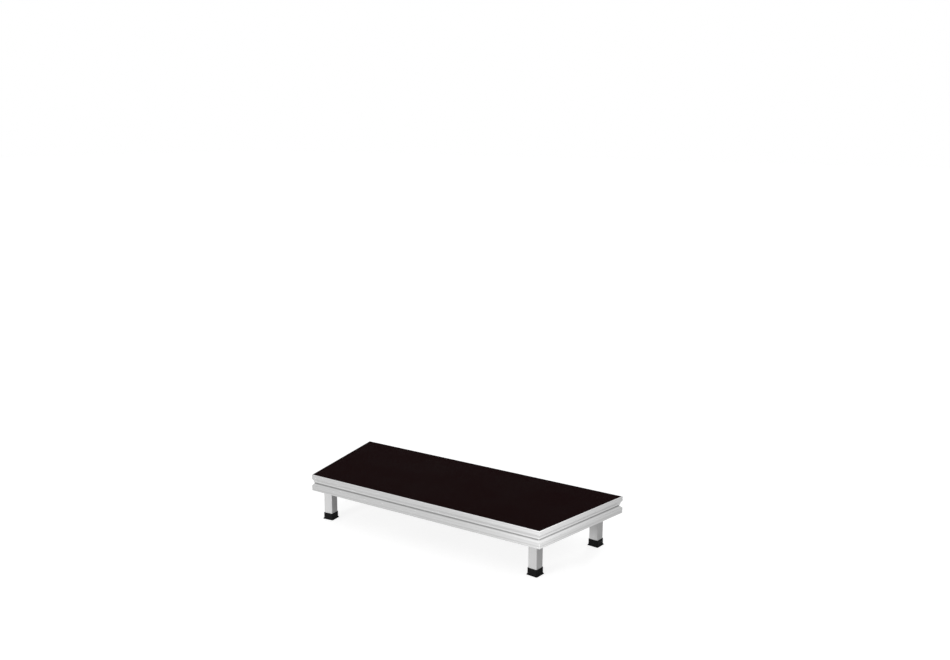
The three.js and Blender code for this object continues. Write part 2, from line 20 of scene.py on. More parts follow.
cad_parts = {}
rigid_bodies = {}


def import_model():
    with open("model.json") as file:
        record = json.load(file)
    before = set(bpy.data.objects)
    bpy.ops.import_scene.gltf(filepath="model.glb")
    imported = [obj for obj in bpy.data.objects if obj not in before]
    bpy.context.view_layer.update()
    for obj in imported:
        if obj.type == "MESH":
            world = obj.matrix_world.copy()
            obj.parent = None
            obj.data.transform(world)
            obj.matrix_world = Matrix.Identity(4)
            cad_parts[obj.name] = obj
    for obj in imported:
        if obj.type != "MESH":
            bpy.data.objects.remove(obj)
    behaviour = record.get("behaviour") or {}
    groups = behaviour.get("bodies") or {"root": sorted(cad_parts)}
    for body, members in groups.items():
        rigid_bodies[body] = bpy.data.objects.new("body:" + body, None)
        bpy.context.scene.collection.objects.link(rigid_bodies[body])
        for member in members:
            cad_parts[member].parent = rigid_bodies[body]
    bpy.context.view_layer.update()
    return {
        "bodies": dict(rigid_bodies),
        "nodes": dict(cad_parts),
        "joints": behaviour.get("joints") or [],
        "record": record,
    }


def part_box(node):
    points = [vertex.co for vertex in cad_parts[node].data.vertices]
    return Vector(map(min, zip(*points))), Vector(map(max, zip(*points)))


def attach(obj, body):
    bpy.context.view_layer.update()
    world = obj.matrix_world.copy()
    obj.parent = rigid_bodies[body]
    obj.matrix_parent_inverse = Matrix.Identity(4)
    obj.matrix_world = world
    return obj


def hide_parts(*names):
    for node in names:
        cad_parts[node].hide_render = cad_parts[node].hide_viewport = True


Array = np.ndarray
Triple = tuple[float, float, float]
Colour = tuple[float, float, float, float]

RUN_MAP = "run"
DEPTH_MAP = "groove_depth"
SAME_POINT = 2e-6
NO_LENGTH = 1e-12
FLAT_ANGLE = 1.0
SHARP_ANGLE = 40.0
LOG = logging.getLogger("choir_riser")


class Slot(Enum):
    """The record's material slots."""

    RAIL = "rail_aluminium"
    LEG = "leg_aluminium"
    CAST = "cast_aluminium"
    PLY = "film_faced_ply"
    RUBBER = "black_rubber"
    PLASTIC = "black_plastic"
    ZINC = "zinc_steel"


class Hand(Enum):
    """Which way a corner's clamp lies from the line that halves the corner."""

    LEFT = 1
    RIGHT = -1


# Outlines and surfaces


def rounded_path(corners: Array, radii: Array | float, steps: int,
                 closed: bool = True) -> Array:
    """Rounds the corners of an outline with arcs that touch both of their edges.

    A corner's arc has its centre at r / sin(half angle) along the line that halves the corner,
    and turns from the foot of one edge's normal to the foot of the other's.

    Args:
        corners: The outline's corners, one row of two numbers each.
        radii: One radius for each corner, zero where it stays sharp, or one for all.
        steps: Segments in each arc.
        closed: Whether the last corner joins the first.

    Returns:
        The rounded outline's points.
    """
    parts = []
    last = len(corners) - 1
    for i, (corner, radius) in enumerate(zip(corners, np.broadcast_to(radii, last + 1))):
        if radius <= 0 or (not closed and i in (0, last)):
            parts.append(corner[None])
            continue
        back = corners[i - 1] - corner
        ahead = corners[(i + 1) % len(corners)] - corner
        back, ahead = back / np.linalg.norm(back), ahead / np.linalg.norm(ahead)
        half = math.acos(float(np.clip(back @ ahead, -1, 1))) / 2
        middle = (back + ahead) / np.linalg.norm(back + ahead)
        centre = corner + middle * radius / math.sin(half)
        first = corner + back * radius / math.tan(half) - centre
        final = corner + ahead * radius / math.tan(half) - centre
        sweep = math.pi - 2 * half
        share = np.linspace(0, 1, steps + 1)[:, None]
        arc = np.sin((1 - share) * sweep) * first + np.sin(share * sweep) * final
        parts.append(centre + arc / math.sin(sweep))
    return np.concatenate(parts)


def rounded_rows(rows: list[Triple], steps: int, closed: bool = True) -> Array:
    """A rounded path of rows, each a corner's two numbers and its radius."""
    table = np.array(rows, float)
    return rounded_path(table[:, :2], table[:, 2], steps, closed)


def angles(count: int) -> Array:
    """Even angles round a whole turn."""
    return np.arange(count) / count * math.tau


def outward(loop: Array) -> Array:
    """Unit normals of a counter-clockwise loop, each the mean of its two edges' normals.

    Args:
        loop: The loop's points.

    Returns:
        One normal for each point.
    """
    edge = np.roll(loop, -1, axis=0) - loop
    edge /= np.maximum(np.linalg.norm(edge, axis=1, keepdims=True), NO_LENGTH)
    normal = np.stack([edge[:, 1], -edge[:, 0]], axis=1)
    normal += np.roll(normal, 1, axis=0)
    return normal / np.linalg.norm(normal, axis=1, keepdims=True)


def rectangle(half_width: float, half_height: float) -> Array:
    """The corners of a rectangle about the origin, counter-clockwise."""
    signs = np.array([(-1, -1), (1, -1), (1, 1), (-1, 1)], float)
    return signs * (half_width, half_height)


def box_rings(half_x: Array, half_y: Array, radius: Array, level: Array, steps: int) -> Array:
    """Rounded rectangles one above the other.

    Args:
        half_x: Half of each one's size along X.
        half_y: Half of its size along Y.
        radius: The radius of its corners.
        level: Its level.
        steps: Segments in each corner's arc.

    Returns:
        The rings' points.
    """
    return np.stack([
        np.column_stack([rounded_path(rectangle(x, y), r, steps), np.full(4 * (steps + 1), z)])
        for x, y, r, z in zip(half_x, half_y, radius, level)
    ])


def eased_edge(size: float, steps: int = 3) -> tuple[Array, Array]:
    """A quarter arc's rings: drawn in by size (1 - sin t), size (1 - cos t) from the end."""
    turn = np.linspace(0, math.pi / 2, steps + 1)
    return size * (1 - np.sin(turn)), size * (1 - np.cos(turn))


def tube_rings(half: tuple[float, float], wall: float, radii: tuple[float, float],
               span: tuple[float, float], ease: float, steps: int) -> tuple[Array, Array]:
    """A rectangular tube that stands on end, eased round both of its ends.

    Args:
        half: Half its width both ways.
        wall: The wall's thickness.
        radii: The radius of its outer edges and of its bore's.
        span: The levels of its ends.
        ease: The radius that eases the ends' outer edges.
        steps: Segments in each corner's arc.

    Returns:
        The outer rings, and the bore's the other way round.
    """
    drawn, lift = eased_edge(ease)
    drawn = np.concatenate([drawn, drawn[::-1]])
    level = np.concatenate([span[0] + lift, span[1] - lift[::-1]])
    outside = box_rings(half[0] - drawn, half[1] - drawn, radii[0] - drawn, level, steps)
    bore = box_rings([half[0] - wall] * 2, [half[1] - wall] * 2, [radii[1]] * 2, span, steps)
    return outside, bore[:, ::-1]


def screw_wave(place: Array, angle: Array, pitch: float) -> Array:
    """A thread's triangular wave of (place / pitch - angle / turn), from 0 to 1."""
    return 2 * np.abs((place[:, None] / pitch - angle / math.tau) % 1 - 0.5)


def placed(points: Array, matrix: Matrix) -> Array:
    """Points moved by a 4 x 4 matrix."""
    whole = np.array(matrix)
    return points @ whole[:3, :3].T + whole[:3, 3]


@dataclass
class Draft:
    """A mesh in the making: closed sweeps and caps, with surface coordinates in metres.

    Each point also has a depth: how deep in a groove it lies, or less than zero where its edge gets
    a painted highlight with wear.
    """

    points: list[Array] = field(default_factory=list)
    faces: list[list[int]] = field(default_factory=list)
    coords: list[Array] = field(default_factory=list)
    slots: list[int] = field(default_factory=list)
    depths: list[Array] = field(default_factory=list)
    count: int = 0

    def add_points(self, points: Array, depth: Array | float = 0.0) -> Array:
        """Adds points.

        Args:
            points: The points, in any layout of rows.
            depth: Their depths, or one for all.

        Returns:
            The points' numbers in the same layout.
        """
        flat = points.reshape(-1, 3)
        self.points.append(flat)
        self.depths.append(np.broadcast_to(depth, points.shape[:-1]).ravel())
        numbers = np.arange(self.count, self.count + len(flat))
        self.count += len(flat)
        return numbers.reshape(points.shape[:-1])

    def add_faces(self, faces: Array, coords: Array, slot: int = 0) -> None:
        """Adds faces of one kind.

        Args:
            faces: The numbers of each face's points.
            coords: The surface coordinates of the faces' corners.
            slot: The material slot of the faces.
        """
        self.faces.extend(faces.tolist())
        self.coords.append(coords.reshape(-1, 2))
        self.slots.extend([slot] * len(faces))

    def add_sweep(self, rings: Array, slot: int = 0, depth: Array | float = 0.0,
                  joined: bool = False) -> Array:
        """Joins closed rings of points, all of one length, in order.

        The first coordinate runs from ring to ring and the second round each ring, both as
        distances along the surface.

        Args:
            rings: Points as rings, points of a ring, and x, y, z.
            slot: The material slot of the faces.
            depth: The points' depths.
            joined: Whether the last ring meets the first.

        Returns:
            The numbers of the points, ring by ring.
        """
        numbers = self.add_points(rings, depth)
        if joined:
            rings = np.concatenate([rings, rings[:1]])
        along = np.linalg.norm(np.diff(rings, axis=0), axis=2).cumsum(axis=0)
        along = np.concatenate([np.zeros_like(along[:1]), along])
        along = np.concatenate([along, along[:, :1]], axis=1)
        looped = np.concatenate([rings, rings[:, :1]], axis=1)
        around = np.linalg.norm(np.diff(looped, axis=1), axis=2).cumsum(axis=1).max(axis=0)
        around = np.broadcast_to(np.concatenate([[0.0], around]), along.shape)
        grid = np.stack([along, around], axis=2)
        wrapped = np.concatenate([numbers, numbers[:1]]) if joined else numbers
        wrapped = np.concatenate([wrapped, wrapped[:, :1]], axis=1)
        for_faces = [wrapped[:-1, :-1], wrapped[:-1, 1:], wrapped[1:, 1:], wrapped[1:, :-1]]
        for_coords = [grid[:-1, :-1], grid[:-1, 1:], grid[1:, 1:], grid[1:, :-1]]
        faces = np.stack(for_faces, axis=-1).reshape(-1, 4)
        self.add_faces(faces, np.stack(for_coords, axis=2), slot)
        return numbers

    def add_pole(self, ring: Array, centre: Array, at_start: bool, slot: int = 0) -> None:
        """Closes a ring with triangles to one point.

        Args:
            ring: The numbers of the ring's points.
            centre: The one point.
            at_start: Whether the ring is the first of its sweep.
            slot: The material slot of the faces.
        """
        pole = np.full(len(ring), self.add_points(centre[None])[0])
        ahead = np.roll(ring, -1)
        order = [pole, ahead, ring] if at_start else [pole, ring, ahead]
        self.add_faces(np.stack(order, axis=1), np.zeros((len(ring), 3, 2)), slot)

    def add_cap(self, loops: list[Array], at_start: bool, slot: int = 0) -> None:
        """Fills a flat end.

        Args:
            loops: The numbers of the outline's points, and then of each hole's.
            at_start: Whether it is the start of a sweep.
            slot: The material slot of the faces.
        """
        points = np.concatenate(self.points)
        found = np.array(tessellate_polygon([points[loop] for loop in loops]))
        joined = np.concatenate(loops)
        faces = joined[found]
        # The first loop's own direction says which side is outside.
        outline = points[loops[0]]
        wanted = np.cross(outline, np.roll(outline, -1, axis=0)).sum(axis=0)
        sides = points[faces]
        area = np.cross(sides[:, 1] - sides[:, 0], sides[:, 2] - sides[:, 0])
        flip = (area @ wanted < 0) != at_start
        faces[flip] = faces[flip][:, ::-1]
        self.add_faces(faces, np.zeros((len(faces), 3, 2)), slot)

    def add_hollow(self, outside: Array, hollows: list[Array],
                   depth: Array | float = 0.0) -> None:
        """Adds a length with holes right through it, flat at both ends.

        Args:
            outside: The outer rings from the start to the end.
            hollows: The rings of each hole, drawn the other way round.
            depth: The outer points' depths.
        """
        ends = [self.add_sweep(outside, depth=depth), *map(self.add_sweep, hollows)]
        self.add_cap([numbers[0] for numbers in ends], at_start=True)
        self.add_cap([numbers[-1] for numbers in ends], at_start=False)

    def mesh(self, name: str) -> bpy.types.Mesh:
        """The finished mesh, turned so that its faces point out.

        Args:
            name: The mesh's name.

        Returns:
            The mesh, with its surface coordinates and depths.
        """
        points = np.concatenate(self.points)
        mesh = bpy.data.meshes.new(name)
        mesh.from_pydata(points.tolist(), [], self.faces)
        layer = mesh.uv_layers.new(name=RUN_MAP)
        layer.data.foreach_set("uv", np.concatenate(self.coords).astype(np.float32).ravel())
        depth = mesh.attributes.new(DEPTH_MAP, "FLOAT", "POINT")
        depth.data.foreach_set("value", np.concatenate(self.depths).astype(np.float32))
        mesh.polygons.foreach_set("material_index", self.slots)
        mesh.polygons.foreach_set("use_smooth", [True] * len(self.faces))
        if enclosed(mesh) < 0:
            mesh.flip_normals()
        mesh.update()
        return mesh


def enclosed(mesh: bpy.types.Mesh) -> float:
    """The volume inside a closed mesh: a sixth of the sum of a . (b x c) over its triangles.

    Args:
        mesh: The mesh.

    Returns:
        The volume, negative where the faces point in.
    """
    mesh.calc_loop_triangles()
    corners = np.zeros(len(mesh.loop_triangles) * 3, np.int32)
    mesh.loop_triangles.foreach_get("vertices", corners)
    points = np.zeros(len(mesh.vertices) * 3, np.float32)
    mesh.vertices.foreach_get("co", points)
    a, b, c = points.reshape(-1, 3).astype(float)[corners.reshape(-1, 3)].transpose(1, 0, 2)
    return float((a * np.cross(b, c)).sum() / 6)


def spun(radius: Array, place: Array, matrix: Matrix) -> Array:
    """Rings turned about X: at angle t a point lies at (x, r cos t, r sin t).

    Args:
        radius: Radii as rows along the profile and columns round the axis.
        place: Places along X in the same layout, or one column for all.
        matrix: Where the piece's own axes lie on the riser.

    Returns:
        The rings' points.
    """
    angle = angles(radius.shape[1])
    place = np.broadcast_to(place, radius.shape)
    return placed(np.stack([place, radius * np.cos(angle), radius * np.sin(angle)], axis=-1),
                  matrix)


def turned(radius: Array, place: Array, matrix: Matrix) -> Draft:
    """A closed surface turned about X.

    Args:
        radius: Radii as rows along the profile and columns round the axis.
        place: Places along X in the same layout, or one column for all.
        matrix: Where the piece's own axes lie on the riser.

    Returns:
        The draft, with a pole at each end.
    """
    draft = Draft()
    numbers = draft.add_sweep(spun(radius, place, matrix))
    for row, at_start in ((0, True), (-1, False)):
        middle = np.broadcast_to(place[row], radius.shape[1]).mean()
        draft.add_pole(numbers[row], placed(np.array([middle, 0, 0]), matrix), at_start)
    return draft


def turned_ring(profile: Array, columns: int, matrix: Matrix) -> Draft:
    """A closed profile turned about X, like a washer.

    Args:
        profile: Rows of a radius and a place.
        columns: Points round the axis.
        matrix: Where the piece's own axes lie on the riser.

    Returns:
        The draft.
    """
    draft = Draft()
    radius = np.repeat(profile[:, :1], columns, axis=1)
    draft.add_sweep(spun(radius, profile[:, 1:], matrix), joined=True)
    return draft


def link(name: str, data: bpy.types.ID) -> bpy.types.Object:
    """Puts a mesh, lamp or camera in the scene, at the origin.

    Args:
        name: The object's name.
        data: The mesh, lamp or camera.

    Returns:
        The object.
    """
    thing = bpy.data.objects.new(name, data)
    bpy.context.scene.collection.objects.link(thing)
    return thing


def modify(piece: bpy.types.Object, name: str, kind: str, **settings: object) -> None:
    """Adds a modifier.

    Args:
        piece: The piece.
        name: The modifier's name.
        kind: Its type.
        settings: Its settings.
    """
    modifier = piece.modifiers.new(name, kind)
    for key, value in settings.items():
        setattr(modifier, key, value)


def merge(piece: bpy.types.Object) -> None:
    """Makes one point of those in the same place."""
    modify(piece, "merged", "WELD", merge_threshold=SAME_POINT)


def even_flats(piece: bpy.types.Object, keep_sharp: bool) -> None:
    """Shades flats evenly, so that only eased edges turn the light."""
    modify(piece, "even_flats", "WEIGHTED_NORMAL", keep_sharp=keep_sharp)


# The plan of the frame


@dataclass(frozen=True)
class Corner:
    """One outer corner of the frame, seen from above."""

    name: str
    x: float
    y: float
    half: float
    facing: float
    inset: float
    hand: Hand

    def station(self) -> Matrix:
        """The leg's own axes, which lie inset / sin of half the angle in from the corner.

        Returns:
            Their matrix, X pointing from the leg's axis to the clamp's knob.
        """
        reach = self.inset / math.sin(self.half)
        x = self.x + reach * math.cos(self.facing)
        y = self.y + reach * math.sin(self.facing)
        turn = self.facing + self.hand.value * math.pi / 4
        return Matrix.Translation((x, y, 0)) @ Matrix.Rotation(turn, 4, "Z")

    def beside_rail(self, side: int, along: float, inward: float) -> Vector:
        """A point beside one of the two rails that meet here.

        Each rail lies half the corner's angle from the line that halves it, on its own side.

        Args:
            side: 1 for the rail before the corner, -1 for the one after it.
            along: How far along the rail it lies.
            inward: How far in from the rail's outer face.

        Returns:
            The point, on the floor.
        """
        cos, sin = math.cos(self.half), math.sin(self.half)
        own = Vector((along * cos + inward * sin, side * (along * sin - inward * cos), 0))
        return Vector((self.x, self.y, 0)) + Matrix.Rotation(self.facing, 3, "Z") @ own


@dataclass(frozen=True)
class Plan:
    """The outline of the frame and its levels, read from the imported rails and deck."""

    front_leg_inset: float = 0.060
    back_leg_inset: float = 0.067
    mitre_gap: float = 0.00015
    seat_gap: float = 0.0003
    socket_half: float = 0.026
    clamp_drop: float = 0.028
    boss_end: float = 0.043
    braces: tuple[tuple[str, float], ...] = (("left_brace", -0.210), ("right_brace", 0.210))

    def levels(self, node: str) -> tuple[float, float]:
        """The lowest and highest level of a node."""
        low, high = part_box(node)
        return low.z, high.z

    def middle(self, node: str) -> float:
        """The level halfway up a node."""
        return sum(self.levels(node)) / 2

    def clamp_level(self) -> float:
        """The height of the clamps' axes."""
        return self.levels("deck_panel")[0] - self.clamp_drop

    def half_depth(self) -> float:
        """From the middle to the back rail's outer face."""
        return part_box("back_rail")[1].y

    def saddles(self, brace: str) -> list[tuple[str, int]]:
        """A brace's saddles, each with its side: -1 at the front, 1 at the back."""
        return [(f"{brace}_front_saddle", -1), (f"{brace}_back_saddle", 1)]

    def corners(self) -> list[Corner]:
        """The four corners, counter-clockwise from the front left.

        A rail's end stands back from its mitre plane, so the corner lies gap / sin of half its
        angle further out.

        Returns:
            The corners.
        """
        front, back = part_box("front_rail"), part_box("back_rail")
        places = [
            ("front_left", front[0].x, front[0].y, self.front_leg_inset),
            ("front_right", front[1].x, front[0].y, self.front_leg_inset),
            ("back_right", back[1].x, back[1].y, self.back_leg_inset),
            ("back_left", back[0].x, back[1].y, self.back_leg_inset),
        ]
        found = []
        for i, (name, x, y, inset) in enumerate(places):
            here = Vector((x, y))
            ahead = (Vector(places[(i + 1) % 4][1:3]) - here).normalized()
            behind = (Vector(places[i - 1][1:3]) - here).normalized()
            half = ahead.angle(behind) / 2
            middle = ahead + behind
            hand = Hand.LEFT if i % 2 == 0 else Hand.RIGHT
            facing = math.atan2(middle.y, middle.x)
            out = math.copysign(self.mitre_gap / math.sin(half), x)
            found.append(Corner(name, x + out, y, half, facing, inset, hand))
        return found


@dataclass
class Riser:
    """What every sub-assembly needs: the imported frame, its plan and the finishes."""

    frame: dict
    plan: Plan
    corners: list[Corner]
    finish: dict[Slot, list[bpy.types.Material]]

    def body_of(self, node: str) -> str:
        """The body that a node belongs to."""
        bodies = self.frame["record"]["behaviour"]["bodies"]
        return next(body for body, nodes in bodies.items() if node in nodes)

    def fit(self, draft: Draft, name: str, node: str, slot: Slot, stays: bool = False,
            sharp: float = SHARP_ANGLE, merged: bool = False) -> None:
        """Makes a draft a piece that rides on a node's body.

        Args:
            draft: The finished draft.
            name: The piece's name.
            node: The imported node.
            slot: The piece's finish.
            stays: Whether the node stays, and isn't replaced by the piece.
            sharp: Edges that turn by more degrees than this stay sharp.
            merged: Whether points in the same place become one.
        """
        mesh = draft.mesh(name)
        piece = link(name, mesh)
        for material in self.finish[slot]:
            mesh.materials.append(material)
        mesh.set_sharp_from_angle(angle=math.radians(sharp))
        if merged:
            merge(piece)
        even_flats(piece, keep_sharp=True)
        if not stays:
            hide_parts(node)
        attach(piece, self.body_of(node))
        LOG.info("%s with %s: %d faces", name, node, len(mesh.polygons))

    def dress(self, node: str, slot: Slot, ease: float, segments: int = 2) -> None:
        """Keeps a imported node, eases its edges and gives it its finish.

        Args:
            node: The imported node.
            slot: Its finish.
            ease: The width of an eased edge.
            segments: Faces across that edge.
        """
        piece = self.frame["nodes"][node]
        merge(piece)
        modify(piece, "flat_faces", "DECIMATE", decimate_type="DISSOLVE",
               angle_limit=math.radians(FLAT_ANGLE))
        modify(piece, "eased", "BEVEL", width=ease, segments=segments, limit_method="ANGLE",
               angle_limit=math.radians(SHARP_ANGLE))
        piece.data.polygons.foreach_set("use_smooth", [True] * len(piece.data.polygons))
        even_flats(piece, keep_sharp=False)
        piece.data.materials.clear()
        piece.data.materials.append(self.finish[slot][0])
        LOG.info("%s kept, edges eased by %.1f mm", node, ease * 1000)


# Sub-assemblies


@dataclass
class RailFrame:
    """Four mitred lengths of one extrusion: two chambers, a rebate and a stepped V groove."""

    riser: Riser
    width: float = 0.030
    wall: float = 0.003
    inner_wall: float = 0.004
    web: float = 0.003
    lip: float = 0.003
    top_radius: float = 0.00255
    bottom_radius: float = 0.0024
    inner_radius: float = 0.0012
    lip_radius: float = 0.0004
    band: float = 0.0172
    upper_flank: float = 0.0105
    step_depth: float = 0.0058
    step_height: float = 0.0048
    groove_depth: float = 0.0092
    middle_flank: float = 0.0053
    lower_flank: float = 0.0096
    arris_radius: float = 0.0007
    root_radius: float = 0.0005
    flute_width: float = 0.006
    flute_depth: float = 0.0006
    upper_flute_drop: float = 0.008
    lower_flute_rise: float = 0.009
    mitre_break: float = 0.0003
    # Painted highlight with wear: how far it fades in from each mitre, and how strong it is on the
    # top and bottom edges.
    mitre_sheen_and_wear: float = 0.0028
    top_sheen_and_wear: float = 0.001
    bottom_sheen_and_wear: float = 0.0007
    arc_steps: int = 5
    flute_steps: int = 8
    chamber_steps: int = 2
    names: tuple[str, ...] = ("front_rail", "right_rail", "back_rail", "left_rail")

    def heights(self, height: float) -> tuple[float, float, float, float, float]:
        """The groove's levels, each the one above it less the height of the face between.

        Args:
            height: The rail's height.

        Returns:
            The levels of its upper edge, its step's top and bottom, its root and its lower edge.
        """
        knee = height - self.band
        step_top = knee - self.upper_flank
        step_low = step_top - self.step_height
        root = step_low - self.middle_flank
        return knee, step_top, step_low, root, root - self.lower_flank

    def flute(self, middle: float) -> Array:
        """A shallow hollow: its depth falls with the square of the distance from its middle.

        Args:
            middle: The level of its middle.

        Returns:
            Rows of a depth and a level.
        """
        share = np.linspace(-1, 1, self.flute_steps + 1)
        depth = self.flute_depth * (1 - share**2)
        return np.stack([depth, middle + share * self.flute_width / 2], axis=1)

    def outline(self, height: float, ledge: float) -> Array:
        """The section's outer outline: the outer face, with its groove and flutes, and the rebate.

        Args:
            height: The rail's height.
            ledge: The level of the ledge that carries the deck.

        Returns:
            Points, each as its way in from the outer face and up from the bottom.
        """
        knee, step_top, step_low, root, low_knee = self.heights(height)
        low_flute = self.flute(self.lower_flute_rise)
        high_flute = self.flute(height - self.upper_flute_drop)
        arris, inner = self.arris_radius, self.inner_radius
        rows = [
            (self.width, 0, inner),
            (0, 0, self.bottom_radius),
            *[(*point, 0) for point in low_flute],
            (0, low_knee, arris),
            (self.groove_depth, root, self.root_radius),
            (self.step_depth, step_low, self.lip_radius),
            (self.step_depth, step_top, self.root_radius),
            (0, knee, arris),
            *[(*point, 0) for point in high_flute],
            (0, height, self.top_radius),
            (self.lip, height, self.lip_radius),
            (self.lip, ledge, self.root_radius),
            (self.width, ledge, inner),
        ]
        return rounded_rows(rows, self.arc_steps)[::-1]

    def chambers(self, height: float, ledge: float) -> list[Array]:
        """The section's two hollows.

        Behind a corner of the outer face, where faces with normals m and n meet, the hollow's
        corner lies wall (m + n) / (1 + m . n) further in.

        Args:
            height: The rail's height.
            ledge: The level of the ledge that carries the deck.

        Returns:
            Their outlines, drawn the other way round from the outer one.
        """
        knee, step_top, step_low, root, low_knee = self.heights(height)
        inside = self.width - self.inner_wall
        face = np.array([
            (0, 0), (0, low_knee), (self.groove_depth, root), (self.step_depth, step_low),
            (self.step_depth, step_top), (0, knee), (0, height),
        ])
        way = np.diff(face, axis=0)
        way /= np.linalg.norm(way, axis=1, keepdims=True)
        turn = 1 + (way[:-1] * way[1:]).sum(axis=1, keepdims=True)
        across = np.stack([way[:-1, 1] + way[1:, 1], -way[:-1, 0] - way[1:, 0]], axis=1)
        walls = face[1:-1] + across * self.wall / turn
        low_wall, apex, step_wall, step_up, high_wall = walls
        floor, ceiling = root - self.web / 2, root + self.web / 2
        top = ledge - self.wall

        def at_height(start: Array, end: Array, level: float) -> Array:
            """The point of a line at a level."""
            return start + (end - start) * (level - start[1]) / (end[1] - start[1])

        lower = [low_wall, (self.wall, self.wall), (inside, self.wall), (inside, floor),
                 at_height(low_wall, apex, floor)]
        upper = [(inside, ceiling), (inside, top), (self.wall, top), high_wall, step_up,
                 step_wall, at_height(apex, step_wall, ceiling)]
        return [rounded_path(np.array(loop), self.root_radius, self.chamber_steps)[::-1]
                for loop in (lower, upper)]

    def rings(self, loop: Array, start: Corner, end: Corner, length: float,
              breaks: Array) -> Array:
        """A loop carried along the rail between its two mitre planes.

        A point that lies u in from the outer face starts (u + gap / cos) / tan of half the
        corner's angle along the rail.

        Args:
            loop: The section's loop.
            start: The corner where the rail starts.
            end: The corner where it ends.
            length: The length between the two corners.
            breaks: Rows of a distance from the mitre and how far the loop is drawn in there,
                which eases the cut edge.

        Returns:
            The rings, as points along the rail, in from its face and up.
        """
        normal = outward(loop)
        rows = []
        for corner, ahead in ((start, True), (end, False)):
            ordered = breaks if ahead else breaks[::-1]
            for distance, drawn_in in ordered:
                ring = loop - normal * drawn_in
                gap = self.riser.plan.mitre_gap / math.cos(corner.half)
                cut = (ring[:, 0] + gap) / math.tan(corner.half)
                along = cut + distance if ahead else length - cut - distance
                rows.append(np.stack([along, ring[:, 0], ring[:, 1]], axis=1))
        return np.stack(rows)

    def build_rail(self, name: str, start: Corner, end: Corner) -> None:
        """One rail, closed at both mitres.

        Args:
            name: The rail's node.
            start: The corner where it starts.
            end: The corner where it ends.
        """
        bottom, top = self.riser.plan.levels(name)
        height = top - bottom
        ledge = self.riser.plan.levels("deck_panel")[0] - bottom
        run = Vector((end.x - start.x, end.y - start.y))
        matrix = (Matrix.Translation((start.x, start.y, bottom))
                  @ Matrix.Rotation(math.atan2(run.y, run.x), 4, "Z"))
        drawn, along = eased_edge(self.mitre_break)
        eased = len(drawn)
        breaks = np.concatenate([np.stack([along, drawn], axis=1), [(self.mitre_sheen_and_wear, 0.0)]])
        outline = self.outline(height, ledge)
        outer = self.rings(outline, start, end, run.length, breaks)
        # Depths for the finish: the groove and flutes get painted shade and highlight, and the
        # eased top edge, bottom edge and mitre ends get values below 0 for a painted highlight with
        # wear.
        outside = (outline[:, 0] <= self.groove_depth) & (outline[:, 1] < ledge)
        level = outline[:, 1]
        sheen_and_wear = np.maximum(np.clip(1 + (level - height) / self.top_radius, 0, 1) * self.top_sheen_and_wear,
                         np.clip(1 - level / self.bottom_radius, 0, 1) * self.bottom_sheen_and_wear)
        depth = np.where(outside, outline[:, 0], 0.0) * (sheen_and_wear == 0) - sheen_and_wear
        depth = np.tile(depth, (len(outer), 1))
        depth[:eased] = depth[-eased:] = -self.top_sheen_and_wear
        hollows = [self.rings(loop, start, end, run.length, np.zeros((1, 2)))
                   for loop in self.chambers(height, ledge)]
        draft = Draft()
        draft.add_hollow(placed(outer, matrix), [placed(rings, matrix) for rings in hollows], depth)
        self.riser.fit(draft, f"{name}_extrusion", name, Slot.RAIL)

    def build(self) -> None:
        """All four rails."""
        corners = self.riser.corners
        for i, name in enumerate(self.names):
            self.build_rail(name, corners[i], corners[(i + 1) % 4])


@dataclass
class DeckBoard:
    """The plywood panel: a meshed film on top, bare plies at the edge, smooth film below."""

    riser: Riser
    edge_gap: float = 0.0005
    lip: float = 0.003
    top_ease: float = 0.0006
    bottom_ease: float = 0.0004
    corner_radius: float = 0.0008
    corner_steps: int = 3

    def ring(self, inset: float, level: float) -> Array:
        """The panel's outline, whose corners lie reach / sin of half their angle further in.

        Args:
            inset: How far it is drawn in from the panel's edge.
            level: Its level.

        Returns:
            The ring's points.
        """
        spots = []
        for corner in self.riser.corners:
            reach = (self.lip + self.edge_gap + inset) / math.sin(corner.half)
            spots.append((corner.x + reach * math.cos(corner.facing),
                          corner.y + reach * math.sin(corner.facing)))
        radius = max(self.corner_radius - inset, self.corner_radius / 4)
        loop = rounded_path(np.array(spots), radius, self.corner_steps)
        return np.column_stack([loop, np.full(len(loop), level)])

    def build(self) -> None:
        """The panel: its plies up to the rim, then the smooth film below and the meshed above."""
        low, high = self.riser.plan.levels("deck_panel")
        drawn, lift = eased_edge(self.bottom_ease)
        lower = list(zip(drawn, low + lift))
        drop, inset = eased_edge(self.top_ease)
        upper = list(zip(inset, high - drop))
        draft = Draft()
        edge = draft.add_sweep(np.stack([self.ring(*row) for row in lower + upper[:1]]), slot=1)
        draft.add_cap([edge[0]], at_start=True, slot=2)
        rim = draft.add_sweep(np.stack([self.ring(*row) for row in upper]))
        draft.add_cap([rim[-1]], at_start=False)
        self.riser.fit(draft, "deck_board", "deck_panel", Slot.PLY, merged=True)


